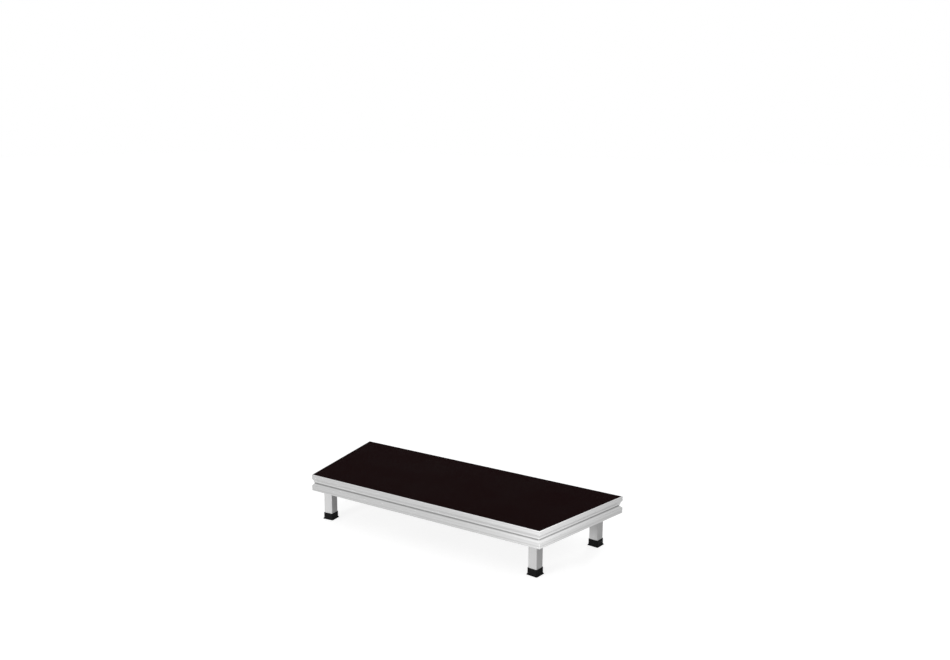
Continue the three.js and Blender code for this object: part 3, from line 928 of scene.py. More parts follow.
@dataclass
class LegSet:
    """Square tubes with soft corners, each in a flared rubber cap."""

    riser: Riser
    half: float = 0.020
    edge_radius: float = 0.003
    wall: float = 0.003
    bore_radius: float = 0.0015
    end_break: float = 0.0004
    pocket_gap: float = 0.0003
    foot_wall: float = 0.0015
    foot_flare: float = 0.0028
    flare_height: float = 0.006
    base_edge: float = 0.0014
    base_radius: float = 0.0008
    flare_fillet: float = 0.0022
    rim_radius: float = 0.0006
    foot_corner: float = 0.0034
    bead_height: float = 0.0245
    bead_width: float = 0.0016
    bead_depth: float = 0.00035
    tread_rings: int = 3
    tread_depth: float = 0.0012
    tread_pitch: float = 0.006
    tread_groove: float = 0.0022
    tread_start: float = 0.75
    tread_ease: float = 0.0002
    pocket_radius: float = 0.0004
    profile_steps: int = 4
    corner_steps: int = 6

    def build_tube(self, corner: Corner) -> None:
        """The leg's tube, its cut ends broken.

        Args:
            corner: The leg's corner.
        """
        name = f"{corner.name}_leg"
        outside, bore = tube_rings((self.half, self.half), self.wall,
                                   (self.edge_radius, self.bore_radius),
                                   self.riser.plan.levels(name), self.end_break,
                                   self.corner_steps)
        station = corner.station()
        draft = Draft()
        draft.add_hollow(placed(outside, station), [placed(bore, station)])
        self.riser.fit(draft, f"{name}_tube", name, Slot.LEG)

    def foot_profile(self, height: float, floor: float) -> Array:
        """The cap's section, from the middle of its tread to its pocket.

        Square grooves stand one pitch apart in the tread, and the side goes up from the flare
        past a shallow bead to the rim.

        Args:
            height: The cap's height.
            floor: The level of the pocket's floor.

        Returns:
            Rows of half a ring's width and its level.
        """
        pocket = self.half + self.pocket_gap
        outer = pocket + self.foot_wall
        base = outer + self.foot_flare
        rows = []
        for k in range(self.tread_rings):
            start = self.tread_pitch * (k + self.tread_start)
            end = start + self.tread_groove
            slope = self.tread_depth / 3
            rows += [(half, level, self.tread_ease) for half, level in (
                (start, 0), (start + slope, self.tread_depth),
                (end - slope, self.tread_depth), (end, 0))]
        bead = self.bead_height
        rows += [
            (base, 0, self.base_radius),
            (base, self.base_edge, self.base_edge / 3),
            (outer, self.flare_height, self.flare_fillet),
            (outer, bead - self.bead_width / 2, self.bead_depth / 2),
            (outer - self.bead_depth, bead, self.bead_depth),
            (outer, bead + self.bead_width / 2, self.bead_depth / 2),
            (outer, height, self.rim_radius),
            (pocket, height, self.rim_radius / 2),
            (pocket, floor, self.pocket_radius),
            (pocket / 4, floor, 0),
        ]
        return rounded_rows([(rows[0][0] / 2, 0, 0), *rows], self.profile_steps, closed=False)

    def build_foot(self, corner: Corner) -> None:
        """The rubber cap, with square tread grooves below and a bead round its rim.

        Args:
            corner: The leg's corner.
        """
        name = f"{corner.name}_foot"
        height = self.riser.plan.levels(name)[1]
        floor = self.riser.plan.levels(f"{corner.name}_leg")[0]
        profile = self.foot_profile(height, floor)
        half, level = profile[:, 0], profile[:, 1]
        radius = np.minimum(self.foot_corner, half / 2)
        rings = box_rings(half, half, radius, level, self.corner_steps)
        rings = placed(rings, corner.station())
        draft = Draft()
        numbers = draft.add_sweep(rings)
        draft.add_pole(numbers[0], rings[0].mean(axis=0), at_start=True)
        draft.add_pole(numbers[-1], rings[-1].mean(axis=0), at_start=False)
        self.riser.fit(draft, f"{name}_cap", name, Slot.RUBBER)

    def build(self) -> None:
        """All legs and feet."""
        for corner in self.riser.corners:
            self.build_tube(corner)
            self.build_foot(corner)


@dataclass
class FlangeBolts:
    """Hexagon flange bolts: four in each corner casting and one in each saddle."""

    riser: Riser
    radius: float = 0.004
    length: float = 0.014
    flange_radius: float = 0.0085
    flange_height: float = 0.0016
    across_flats: float = 0.013
    head_height: float = 0.0064
    pitch: float = 0.00125
    wing_inside: float = 0.0353
    bolt_set_off: float = 0.016
    saddle_plate: float = 0.0336
    columns: int = 48
    corner_cut: float = 1.135
    crown: float = 0.95
    crown_slope: float = math.radians(30)
    ease: float = 0.0004
    fine_ease: float = 0.00015
    dimple: float = 0.0003
    thread_share: float = 0.6
    thread_rings: int = 6
    thread_fade: float = 0.8
    tip_break: float = 0.0006
    tip_shares: tuple[float, float] = (0.45, 0.78)
    thread_end: float = 0.0012
    shank: float = 0.0008
    rim_levels: Triple = (0.0003, 0.0007, 0.0010)
    rim_slope: float = 0.0014
    foot_level: float = 0.0010
    dimple_shares: Triple = (0.93, 0.88, 0.3)
    sharp: float = 25.0
    seed: int = 7
    number: int = 20

    def surface(self) -> tuple[Array, Array]:
        """Radii and places of the bolt's rings.

        The head's radius is the hexagon's, half the width over the cosine of the angle from the
        nearest flat's middle. Its top is cut by a cone of 30 degrees that starts inside the
        corners, so the top edge dips at each corner. The thread is screw_wave's.

        Returns:
            The radii and the places, as rows along the bolt and columns round it.
        """
        angle = angles(self.columns)
        from_flat = (angle + math.pi / 6) % (math.pi / 3) - math.pi / 6
        half = self.across_flats / 2
        hexagon = np.minimum(half / np.cos(from_flat), half * self.corner_cut)
        washer = half * self.crown
        dip = np.maximum(hexagon - washer, 0) * math.tan(self.crown_slope)
        top, high, tip = self.head_height, self.flange_height, -self.length
        crest, flange = self.radius, self.flange_radius
        low_rim, high_rim, rim_top = self.rim_levels
        brink, wall, floor = (washer * share for share in self.dimple_shares)
        places = np.arange(tip + self.tip_break, -self.thread_end,
                           self.pitch / self.thread_rings)
        fade = np.clip((places - tip) / self.pitch, 0, 1)[:, None]
        depth = self.pitch * self.thread_share
        threads = (crest - depth * (1 - fade) * self.thread_fade
                   - depth * fade * (1 - screw_wave(places, angle, self.pitch)))
        # Each row is a radius and a place, from the tip of the thread to the head's dimple.
        rows = [
            *[(crest * share, tip) for share in self.tip_shares], *zip(threads, places),
            (crest, -self.shank), (crest, 0.0),
            (flange - self.ease, 0.0), (flange, low_rim), (flange, high_rim),
            (flange - low_rim, rim_top),
            (np.maximum(hexagon + self.ease, flange - self.rim_slope), high),
            (hexagon, high + self.ease), (hexagon, high + self.foot_level),
            (hexagon, top - dip - self.fine_ease), (hexagon - self.fine_ease, top - dip),
            (washer, top), (brink, top - self.dimple / 5),
            (wall, top - self.dimple), (floor, top - self.dimple),
        ]
        return tuple(np.stack([np.broadcast_to(row[k], self.columns) for row in rows])
                     for k in (0, 1))

    def build_bolt(self, node: str, spot: Vector, direction: float, roll: float) -> None:
        """One bolt.

        Args:
            node: Its node.
            spot: The middle of its seat.
            direction: Which way its head points, as an angle from X.
            roll: How far it is turned about its own axis.
        """
        matrix = (Matrix.Translation(spot) @ Matrix.Rotation(direction, 4, "Z")
                  @ Matrix.Rotation(roll, 4, "X"))
        draft = turned(*self.surface(), matrix)
        self.riser.fit(draft, f"{node}_screw", node, Slot.ZINC, sharp=self.sharp)

    def build(self) -> None:
        """All twenty bolts, each turned to an angle of its own."""
        plan = self.riser.plan
        rolls = iter(np.random.default_rng(self.seed).uniform(0, math.pi / 3, self.number))
        for corner in self.riser.corners:
            run = corner.inset / math.tan(corner.half) + plan.socket_half + self.bolt_set_off
            for k in range(4):
                node = f"{corner.name}_casting_bolt_{k + 1}"
                side = -1 if k < 2 else 1
                spot = corner.beside_rail(side, run, self.wing_inside + plan.seat_gap)
                spot.z = plan.middle(node)
                direction = corner.facing + side * (corner.half - math.pi / 2)
                self.build_bolt(node, spot, direction, next(rolls))
        for brace, x in plan.braces:
            for saddle, side in plan.saddles(brace):
                node = f"{saddle}_bolt"
                spot = Vector((x, side * (plan.half_depth() - self.saddle_plate),
                               plan.middle(node)))
                self.build_bolt(node, spot, -side * math.pi / 2, next(rolls))


@dataclass
class LegClamps:
    """In each corner a moulded star knob on a threaded stud, a nut and a pad."""

    riser: Riser
    shoe_back: float = 0.0263
    shoe_socket: float = 0.0035
    stand_off: float = 0.003
    stud_radius: float = 0.005
    nose_radius: float = 0.0034
    nose_ease: float = 0.0004
    stud_grip: float = 0.012
    pitch: float = 0.0015
    thread_rings: int = 6
    nose_share: float = 0.7
    thread_depth: float = 0.00085
    knob_radius: float = 0.020
    lobe_depth: float = 0.0036
    lobes: int = 6
    thickness: float = 0.014
    hub_radius: float = 0.0105
    hub_length: float = 0.005
    bore_gap: float = 0.0003
    bore_share: float = 0.3
    bore_ease: float = 0.0003
    collar_ease: float = 0.0006
    hub_taper: float = 0.0002
    hub_fillet: float = 0.0012
    rim_radius: float = 0.0026
    rim_rise: float = 0.0004
    dish: float = 0.0012
    dish_edges: tuple[float, float] = (0.0026, 0.0007)
    dish_fillets: tuple[float, float] = (0.0012, 0.0003)
    cap_share: float = 0.86
    cap_ease: float = 0.0007
    cap_drops: tuple[float, float] = (0.0002, 0.0005)
    cap_middle: float = 0.2
    lobe_start: float = 1.02
    columns: int = 120
    stud_columns: int = 32
    nut_ease: float = 0.0004
    shoe_ease: float = 0.0005
    profile_steps: int = 6
    sharp: float = 50.0

    def knob_surface(self) -> tuple[Array, Array]:
        """Radii and places of the star knob.

        At angle t from the level the rim lies at R - depth (1 + cos(6 t)) / 2, which puts one
        lobe at the top. Each ring keeps a share of that dip, none at the hub and the cap and
        all of it round the rim.

        Returns:
            The radii and the places, as rows along the knob and columns round it.
        """
        start = self.riser.plan.boss_end + self.stand_off
        face = start + self.hub_length
        end = face + self.thickness
        hub, rim, bore = self.hub_radius, self.knob_radius, self.stud_radius + self.bore_gap
        hole_end = start + self.stud_grip + self.bore_gap
        cap = hub * self.cap_share
        # Each row is a radius, a place and the radius of the profile's corner there.
        rows = [
            (bore * self.bore_share, hole_end, 0), (bore, hole_end, 0),
            (bore, start, self.bore_ease), (hub, start, self.collar_ease),
            (hub - self.hub_taper, face, self.hub_fillet),
            (rim, face + self.rim_rise, self.rim_radius), (rim, end, self.rim_radius),
            *[(cap + edge, end - self.dish, fillet)
              for edge, fillet in zip(self.dish_edges, self.dish_fillets)],
            (cap, end - self.cap_drops[0], self.cap_ease),
            (cap * self.cap_middle, end - self.cap_drops[1], 0),
        ]
        profile = rounded_rows(rows, self.profile_steps, closed=False)
        angle = angles(self.columns)
        wave = (1 + np.cos(self.lobes * angle)) / 2
        inner = hub * self.lobe_start
        share = np.clip((profile[:, :1] - inner) / (rim - self.rim_radius - inner), 0, 1)
        share = share**2 * (3 - 2 * share)
        radius = profile[:, :1] - self.lobe_depth * share * wave
        return radius, profile[:, 1:]

    def stud_surface(self) -> tuple[Array, Array]:
        """Radii and places of the stud: a plain nose, then screw_wave's right-hand thread.

        The thread fades in over two turns from the shoulder.

        Returns:
            The radii and the places, as rows along the stud and columns round it.
        """
        nose = self.shoe_back - self.shoe_socket + self.bore_gap
        shoulder = self.shoe_back + self.bore_gap
        end = self.riser.plan.boss_end + self.stand_off + self.stud_grip
        angle = angles(self.stud_columns)
        place = np.arange(shoulder + self.pitch / 2, end, self.pitch / self.thread_rings)
        wave = screw_wave(place, angle, self.pitch)
        fade = np.clip((place - shoulder) / (2 * self.pitch), 0, 1)[:, None]
        trough = self.stud_radius - self.thread_depth
        thread = trough + self.thread_depth * wave * fade
        thin, ease = self.nose_radius, self.nose_ease
        radii = [thin * self.nose_share, thin - ease, thin, thin, trough - ease, *thread, trough]
        places = [nose, nose, nose + ease, shoulder, shoulder, *place, end]
        return (np.stack([np.broadcast_to(radius, self.stud_columns) for radius in radii]),
                np.array(places)[:, None])

    def build(self) -> None:
        """All four clamps."""
        height = self.riser.plan.clamp_level()
        for corner in self.riser.corners:
            axis = corner.station() @ Matrix.Translation((0, 0, height))
            for part, surface, suffix, slot in (
                ("clamp_knob", self.knob_surface(), "star", Slot.PLASTIC),
                ("clamp_stud", self.stud_surface(), "thread", Slot.ZINC),
            ):
                node = f"{corner.name}_{part}"
                self.riser.fit(turned(*surface, axis), f"{node}_{suffix}", node, slot,
                               sharp=self.sharp)
            self.riser.dress(f"{corner.name}_clamp_nut", Slot.ZINC, self.nut_ease)
            self.riser.dress(f"{corner.name}_clamp_shoe", Slot.ZINC, self.shoe_ease)


@dataclass
class Underframe:
    """Corner castings, and two cross braces in their saddles."""

    riser: Riser
    cast_ease: float = 0.0009
    cast_segments: int = 3
    saddle_ease: float = 0.0006
    boss_start: float = 0.0204
    boss_root: float = 0.019
    boss_tip: float = 0.014
    boss_hole: float = 0.0062
    boss_hole_ease: float = 0.0004
    boss_floor: float = 0.004
    boss_skin: float = 0.0018
    tongue_radius: float = 0.011
    tongue_hole: float = 0.0088
    tongue_hole_ease: float = 0.0002
    plate_back: float = 0.0303
    plate_front: float = 0.0333
    proud: float = 0.00002
    columns: int = 72
    profile_steps: int = 4
    brace_width: float = 0.040
    brace_height: float = 0.030
    wall: float = 0.0025
    radius: float = 0.0025
    bore_radius: float = 0.001
    end_break: float = 0.0003
    corner_steps: int = 5

    def build_brace(self, name: str) -> None:
        """One drawn rectangular tube across the frame.

        Args:
            name: The brace's node.
        """
        low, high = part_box(name)
        middle = (low + high) / 2
        matrix = Matrix.Translation((middle.x, 0, middle.z))
        # The tube's rings stand on end, so Y and Z change places.
        outside, bore = (placed(rings[..., [0, 2, 1]], matrix) for rings in tube_rings(
            (self.brace_width / 2, self.brace_height / 2), self.wall,
            (self.radius, self.bore_radius), (low.y, high.y), self.end_break,
            self.corner_steps))
        draft = Draft()
        draft.add_hollow(outside, [bore])
        self.riser.fit(draft, f"{name}_tube", name, Slot.RAIL)

    def build_ring(self, node: str, suffix: str, rows: list[Triple], matrix: Matrix) -> None:
        """A turned skin on a casting or saddle, from rows (radius, place, edge radius)."""
        draft = turned_ring(rounded_rows(rows, self.profile_steps), self.columns, matrix)
        self.riser.fit(draft, f"{node}_{suffix}", node, Slot.CAST, stays=True)

    def build_boss(self, corner: Corner) -> None:
        """The round skin of the clamp's boss, a cone whose radius falls evenly to its tip.

        Args:
            corner: The casting's corner.
        """
        plan = self.riser.plan
        tip, end = self.boss_tip + self.proud, plan.boss_end + self.proud
        slope = (self.boss_root - self.boss_tip) / (plan.boss_end - self.boss_start)
        floor = end - self.boss_floor
        start = plan.socket_half - self.proud
        root = tip + slope * (plan.boss_end - start)
        rows = [(root, start, 0), (tip, end, self.cast_ease),
                (self.boss_hole, end, self.boss_hole_ease),
                (self.boss_hole, floor, 0), (tip - self.boss_skin, floor, 0),
                (root - self.boss_skin, start, 0)]
        matrix = corner.station() @ Matrix.Translation((0, 0, plan.clamp_level()))
        self.build_ring(f"{corner.name}_corner_casting", "boss", rows, matrix)

    def build_tongue(self, node: str, x: float, side: int) -> None:
        """The round end of a saddle's tongue, about its bolt.

        Args:
            node: The saddle.
            x: Its place along the riser.
            side: -1 for the front rail, 1 for the back rail.
        """
        plan = self.riser.plan
        spot = Vector((x, side * plan.half_depth(), plan.middle(f"{node}_bolt")))
        radius, front = self.tongue_radius + self.proud, self.plate_front + self.proud
        rows = [(radius, self.plate_back, 0), (radius, front, self.saddle_ease),
                (self.tongue_hole, front, self.tongue_hole_ease),
                (self.tongue_hole, self.plate_back, 0)]
        matrix = Matrix.Translation(spot) @ Matrix.Rotation(-side * math.pi / 2, 4, "Z")
        self.build_ring(node, "tongue", rows, matrix)

    def build(self) -> None:
        """The castings, saddles and braces."""
        for corner in self.riser.corners:
            self.riser.dress(f"{corner.name}_corner_casting", Slot.CAST, self.cast_ease,
                             self.cast_segments)
            self.build_boss(corner)
        plan = self.riser.plan
        for brace, x in plan.braces:
            self.build_brace(brace)
            for node, side in plan.saddles(brace):
                self.riser.dress(node, Slot.CAST, self.saddle_ease)
                self.build_tongue(node, x, side)


# Shader building


@dataclass
class Tree:
    """Short calls for the nodes of one material, group or world."""

    tree: bpy.types.NodeTree

    @classmethod
    def cleared(cls, block: bpy.types.ID) -> Tree:
        """Makes room for the nodes of a new material or world.

        Args:
            block: The material or world.

        Returns:
            Its nodes, of which there are none yet.
        """
        block.use_nodes = True
        block.node_tree.nodes.clear()
        return cls(block.node_tree)

    def add(self, kind: str, values: dict | None = None, **settings: object) -> bpy.types.Node:
        """Adds a node.

        Args:
            kind: Its type.
            values: Its inputs, by name or number, each a value or another node's output.
            settings: Its settings.

        Returns:
            The node.
        """
        node = self.tree.nodes.new(kind)
        for name, value in settings.items():
            setattr(node, name, value)
        for name, value in (values or {}).items():
            self.feed(node.inputs[name], value)
        return node

    def feed(self, socket: bpy.types.NodeSocket, value: object) -> None:
        """Sets an input, or links it.

        Args:
            socket: The input.
            value: Its value, or the output that it is linked to.
        """
        if isinstance(value, bpy.types.NodeSocket):
            self.tree.links.new(value, socket)
        else:
            socket.default_value = value

    def math(self, operation: str, *values: object) -> bpy.types.NodeSocket:
        """A Math node's result."""
        return self.add("ShaderNodeMath", dict(enumerate(values)), operation=operation).outputs[0]

    def blend(self, share: object, first: object, second: object) -> bpy.types.NodeSocket:
        """A mix of two colours."""
        values = {0: share, 6: first, 7: second}
        return self.add("ShaderNodeMix", values, data_type="RGBA").outputs[2]

    def ramp(self, value: object, low: float, high: float, start: float = 0.0,
             end: float = 1.0) -> bpy.types.NodeSocket:
        """A value carried smoothly from one range to another.

        Args:
            value: The output to carry.
            low: Where the first range starts.
            high: Where it ends.
            start: What low becomes.
            end: What high becomes.

        Returns:
            The result.
        """
        names = ("Value", "From Min", "From Max", "To Min", "To Max")
        node = self.add("ShaderNodeMapRange", dict(zip(names, (value, low, high, start, end))),
                        interpolation_type="SMOOTHSTEP")
        return node.outputs[0]

    def about(self, value: object, middle: float, spread: float) -> bpy.types.NodeSocket:
        """A value of 0 to 1 carried smoothly over a spread about its middle."""
        return self.ramp(value, 0.0, 1.0, middle - spread / 2, middle + spread / 2)

    def spot(self) -> bpy.types.NodeSocket:
        """The surface's point in object space."""
        return self.add("ShaderNodeTexCoord").outputs["Object"]

    def axes(self, vector: bpy.types.NodeSocket) -> list[bpy.types.NodeSocket]:
        """A vector's X, Y and Z."""
        return list(self.add("ShaderNodeSeparateXYZ", {"Vector": vector}).outputs)

    def noise(self, vector: object, scale: object, detail: float,
              roughness: float = 0.5) -> bpy.types.NodeSocket:
        """A soft noise about 0.5, with finer layers on it."""
        values = {"Vector": vector, "Scale": scale, "Detail": detail, "Roughness": roughness}
        return self.add("ShaderNodeTexNoise", values).outputs[0]

    def seen(self) -> bpy.types.NodeSocket:
        """Tells what is seen from what only gives light.

        Returns:
            1 for rays from the camera, also in a gloss or through glass, and 0 for the rest.
        """
        ray = self.add("ShaderNodeLightPath").outputs
        direct = self.math("MAXIMUM", ray["Is Camera Ray"], ray["Is Glossy Ray"])
        return self.math("MAXIMUM", direct, ray["Is Transmission Ray"])

    def coat(self, values: dict[str, object], height: object, depth: float,
             strength: float = 0.5) -> None:
        """A Principled shader with a relief, on the material's output.

        Args:
            values: The shader's inputs by name.
            height: The output whose rises and falls make the relief.
            depth: How deep the relief is.
            strength: The share of it that shows.
        """
        bump = self.add("ShaderNodeBump", {"Strength": strength, "Distance": depth,
                                           "Height": height})
        shader = self.add("ShaderNodeBsdfPrincipled", {**values, "Normal": bump.outputs[0]})
        self.add("ShaderNodeOutputMaterial", {"Surface": shader.outputs[0]})


def grey(level: float, warmth: float = 0.0) -> Colour:
    """A grey with a touch of warmth, as a colour with alpha."""
    return (level * (1 + warmth), level, level * (1 - warmth), 1.0)


def tinted(colour: Triple, share: float = 1.0) -> Colour:
    """A colour made lighter or darker, with alpha."""
    return tuple(min(c * share, 1.0) for c in colour) + (1.0,)


@dataclass
class SharedEffects:
    """Node groups that several finishes use."""

    groups: dict[str, bpy.types.NodeTree] = field(default_factory=dict)
    rubbed_turn: tuple[float, float] = (0.995, 0.9)
    broken: tuple[float, float] = (0.35, 0.7)
    blotched: tuple[float, float] = (0.3, 0.7)
    streak_run: float = 0.6
    streak_across: float = 0.08

    def start(self, name: str, inputs: dict[str, float],
              outputs: tuple[str, ...]) -> tuple[Tree, bpy.types.NodeOutputs, bpy.types.NodeInputs]:
        """A new group of values.

        Args:
            name: The group's name.
            inputs: Its inputs, each with its usual value.
            outputs: Its outputs.

        Returns:
            The group's nodes, the values that it is given, and those that it makes.
        """
        group = bpy.data.node_groups.new(name, "ShaderNodeTree")
        kind = "NodeSocketFloat"
        for label, value in inputs.items():
            socket = group.interface.new_socket(label, in_out="INPUT", socket_type=kind)
            socket.default_value = value
        for label in outputs:
            group.interface.new_socket(label, in_out="OUTPUT", socket_type=kind)
        self.groups[name] = group
        tree = Tree(group)
        return tree, tree.add("NodeGroupInput").outputs, tree.add("NodeGroupOutput").inputs

    def edge_wear(self) -> None:
        """Where edges are rubbed: the angle between the face and a rounded normal, broken up."""
        tree, given, made = self.start("edge_wear", {"Width": 0.001, "Breakup": 60.0}, ("Mask",))
        bevel = tree.add("ShaderNodeBevel", {"Radius": given["Width"]}, samples=4).outputs[0]
        face = tree.add("ShaderNodeNewGeometry").outputs["Normal"]
        meet = tree.add("ShaderNodeVectorMath", {0: bevel, 1: face}, operation="DOT_PRODUCT")
        edge = tree.ramp(meet.outputs["Value"], *self.rubbed_turn)
        broken = tree.ramp(tree.noise(tree.spot(), given["Breakup"], detail=3.0), *self.broken)
        tree.feed(made["Mask"], tree.math("MULTIPLY", edge, broken))

    def grain(self) -> None:
        """Fine grain and slow blotches, both in object space."""
        tree, given, made = self.start("grain", {"Fine": 1500.0, "Broad": 14.0},
                                       ("Height", "Blotch"))
        spot = tree.spot()
        tree.feed(made["Height"], tree.noise(spot, given["Fine"], detail=2.0, roughness=0.6))
        broad = tree.noise(spot, given["Broad"], detail=4.0, roughness=0.55)
        tree.feed(made["Blotch"], tree.ramp(broad, *self.blotched))

    def die_lines(self) -> None:
        """Lines that a die leaves: noise drawn out along the run and fine across it."""
        tree, given, made = self.start("die_lines", {"Across": 2600.0, "Along": 3.0},
                                       ("Height", "Streak"))
        run = tree.axes(tree.add("ShaderNodeUVMap", uv_map=RUN_MAP).outputs[0])
        slow = tree.math("MULTIPLY", run[0], given["Along"])
        quick = tree.math("MULTIPLY", run[1], given["Across"])
        fine = tree.add("ShaderNodeCombineXYZ", {"X": slow, "Y": quick}).outputs[0]
        wide = tree.add("ShaderNodeCombineXYZ", {
            "X": tree.math("MULTIPLY", slow, self.streak_run),
            "Y": tree.math("MULTIPLY", quick, self.streak_across)})
        tree.feed(made["Height"], tree.noise(fine, 1.0, detail=3.0, roughness=0.7))
        streak = tree.noise(wide.outputs[0], 1.0, detail=2.0)
        tree.feed(made["Streak"], tree.ramp(streak, *self.blotched))

    def build(self) -> None:
        """Makes every group once."""
        self.edge_wear()
        self.grain()
        self.die_lines()

    def use(self, tree: Tree, name: str, **values: float) -> bpy.types.NodeOutputs:
        """What a group makes in a material, from values of the material's own."""
        return tree.add("ShaderNodeGroup", values, node_tree=self.groups[name]).outputs


@dataclass(frozen=True)
class DrawnAluminium:
    """Satin aluminium with die lines along its run.

    The mesh gives each point's depth behind the outer face: more than 0 in the groove and the
    flutes, which get painted shade and highlight, less than 0 on an eased edge with a painted
    highlight and wear, and 0 elsewhere.
    """

    name: str
    level: float
    spread: float = 0.035
    warmth: float = 0.003
    metallic: float = 0.85
    roughness: float = 0.38
    roughness_spread: float = 0.10
    grain_fine: float = 900.0
    grain_broad: float = 9.0
    blotch_share: float = 0.35
    line_share: float = 0.7
    line_depth: float = 0.00002
    # The light grey of worn edges, also used for the painted highlights.
    wear_and_sheen_level: float = 0.80
    worn_share: float = 0.6
    wear_width: float = 0.0012
    wear_breakup: float = 90.0
    # Painted shade in the groove's root and the flutes, painted highlight on the groove's flanks,
    # and painted highlight with wear on eased edges, all set by depth.
    painted_shade_level: float = 0.25
    painted_shade_share: float = 0.63
    painted_shade_start: float = 0.0055
    painted_shade_full: float = 0.0086
    flute_shade_share: float = 0.12
    flute_shade_full: float = 0.0005
    flank_highlight_share: float = 0.17
    flank_highlight_start: float = 0.0008
    flank_highlight_full: float = 0.0020
    edge_sheen_and_wear_share: float = 0.55
    edge_sheen_and_wear_full: float = 0.001

    def with_painted_light(self, tree: Tree, colour: bpy.types.NodeSocket) -> bpy.types.NodeSocket:
        """Paints shade in the groove's root and the flutes, highlight on the groove's flanks, and
        highlight with wear on the eased edges.

        Args:
            tree: The material's nodes.
            colour: The metal's plain colour.

        Returns:
            The colour as it shows.
        """
        depth = tree.add("ShaderNodeAttribute", attribute_name=DEPTH_MAP).outputs["Fac"]
        # Painted shade: darker towards the groove's root and in the flutes.
        root = tree.ramp(depth, self.painted_shade_start, self.painted_shade_full, 0.0, self.painted_shade_share)
        flute = tree.ramp(depth, 0.0, self.flute_shade_full, 0.0, self.flute_shade_share)
        # Painted highlight: the groove's flanks lighter.
        flank_highlight = tree.ramp(depth, self.flank_highlight_start, self.flank_highlight_full)
        # Painted highlight with wear: the eased edges lighter.
        edge = tree.ramp(depth, -self.edge_sheen_and_wear_full, 0.0, self.edge_sheen_and_wear_share, 0.0)
        sheen_and_wear = tree.math("MAXIMUM", edge, tree.math("MULTIPLY", flank_highlight, self.flank_highlight_share))
        rubbed = tree.blend(sheen_and_wear, colour, grey(self.wear_and_sheen_level))
        # Painted shade in the root and flutes, kept off the flanks that get painted highlight.
        painted_shade = tree.math("MAXIMUM", root, tree.math("SUBTRACT", flute, flank_highlight))
        return tree.blend(painted_shade, rubbed, grey(self.level * self.painted_shade_level))

    def build(self, effects: SharedEffects) -> list[bpy.types.Material]:
        """Makes the finish.

        Args:
            effects: The shared node groups.

        Returns:
            Its one material.
        """
        material = bpy.data.materials.new(self.name)
        tree = Tree.cleared(material)
        lines = effects.use(tree, "die_lines")
        grain = effects.use(tree, "grain", Fine=self.grain_fine, Broad=self.grain_broad)
        wear = effects.use(tree, "edge_wear", Width=self.wear_width, Breakup=self.wear_breakup)
        low, high = self.level - self.spread, self.level + self.spread
        streaks = tree.blend(lines["Streak"], grey(low, self.warmth), grey(high, -self.warmth))
        soft = tree.blend(tree.math("MULTIPLY", grain["Blotch"], self.blotch_share), streaks,
                          grey(high))
        bright = tree.blend(tree.math("MULTIPLY", wear["Mask"], self.worn_share), soft,
                            grey(self.wear_and_sheen_level))
        height = tree.math("ADD", tree.math("MULTIPLY", lines["Height"], self.line_share),
                           tree.math("MULTIPLY", grain["Height"], 1 - self.line_share))
        tree.coat({"Base Color": self.with_painted_light(tree, bright), "Metallic": self.metallic,
                   "Roughness": tree.about(grain["Blotch"], self.roughness,
                                           self.roughness_spread)},
                  height, self.line_depth)
        return [material]


@dataclass(frozen=True)
class GrainyFinish:
    """A cast, moulded or plated surface: one grain, a slow blotch and rubbed edges."""

    name: str
    colour: Triple
    shade: float = 0.12
    metallic: float = 0.0
    roughness: float = 0.6
    roughness_spread: float = 0.12
    specular: float = 0.5
    fine: float = 1200.0
    broad: float = 22.0
    depth: float = 0.00006
    worn: float = 1.5
    worn_share: float = 0.7
    wear_width: float = 0.001
    wear_breakup: float = 140.0

    def build(self, effects: SharedEffects) -> list[bpy.types.Material]:
        """Makes the finish.

        Args:
            effects: The shared node groups.

        Returns:
            Its one material.
        """
        material = bpy.data.materials.new(self.name)
        tree = Tree.cleared(material)
        grain = effects.use(tree, "grain", Fine=self.fine, Broad=self.broad)
        wear = effects.use(tree, "edge_wear", Width=self.wear_width, Breakup=self.wear_breakup)
        body = tree.blend(grain["Blotch"], tinted(self.colour, 1 - self.shade),
                          tinted(self.colour, 1 + self.shade))
        rubbed = tree.blend(tree.math("MULTIPLY", wear["Mask"], self.worn_share), body,
                            tinted(self.colour, self.worn))
        tree.coat({"Base Color": rubbed, "Metallic": self.metallic,
                   "Specular IOR Level": self.specular,
                   "Roughness": tree.about(grain["Blotch"], self.roughness,
                                           self.roughness_spread)},
                  grain["Height"], self.depth)
        return [material]


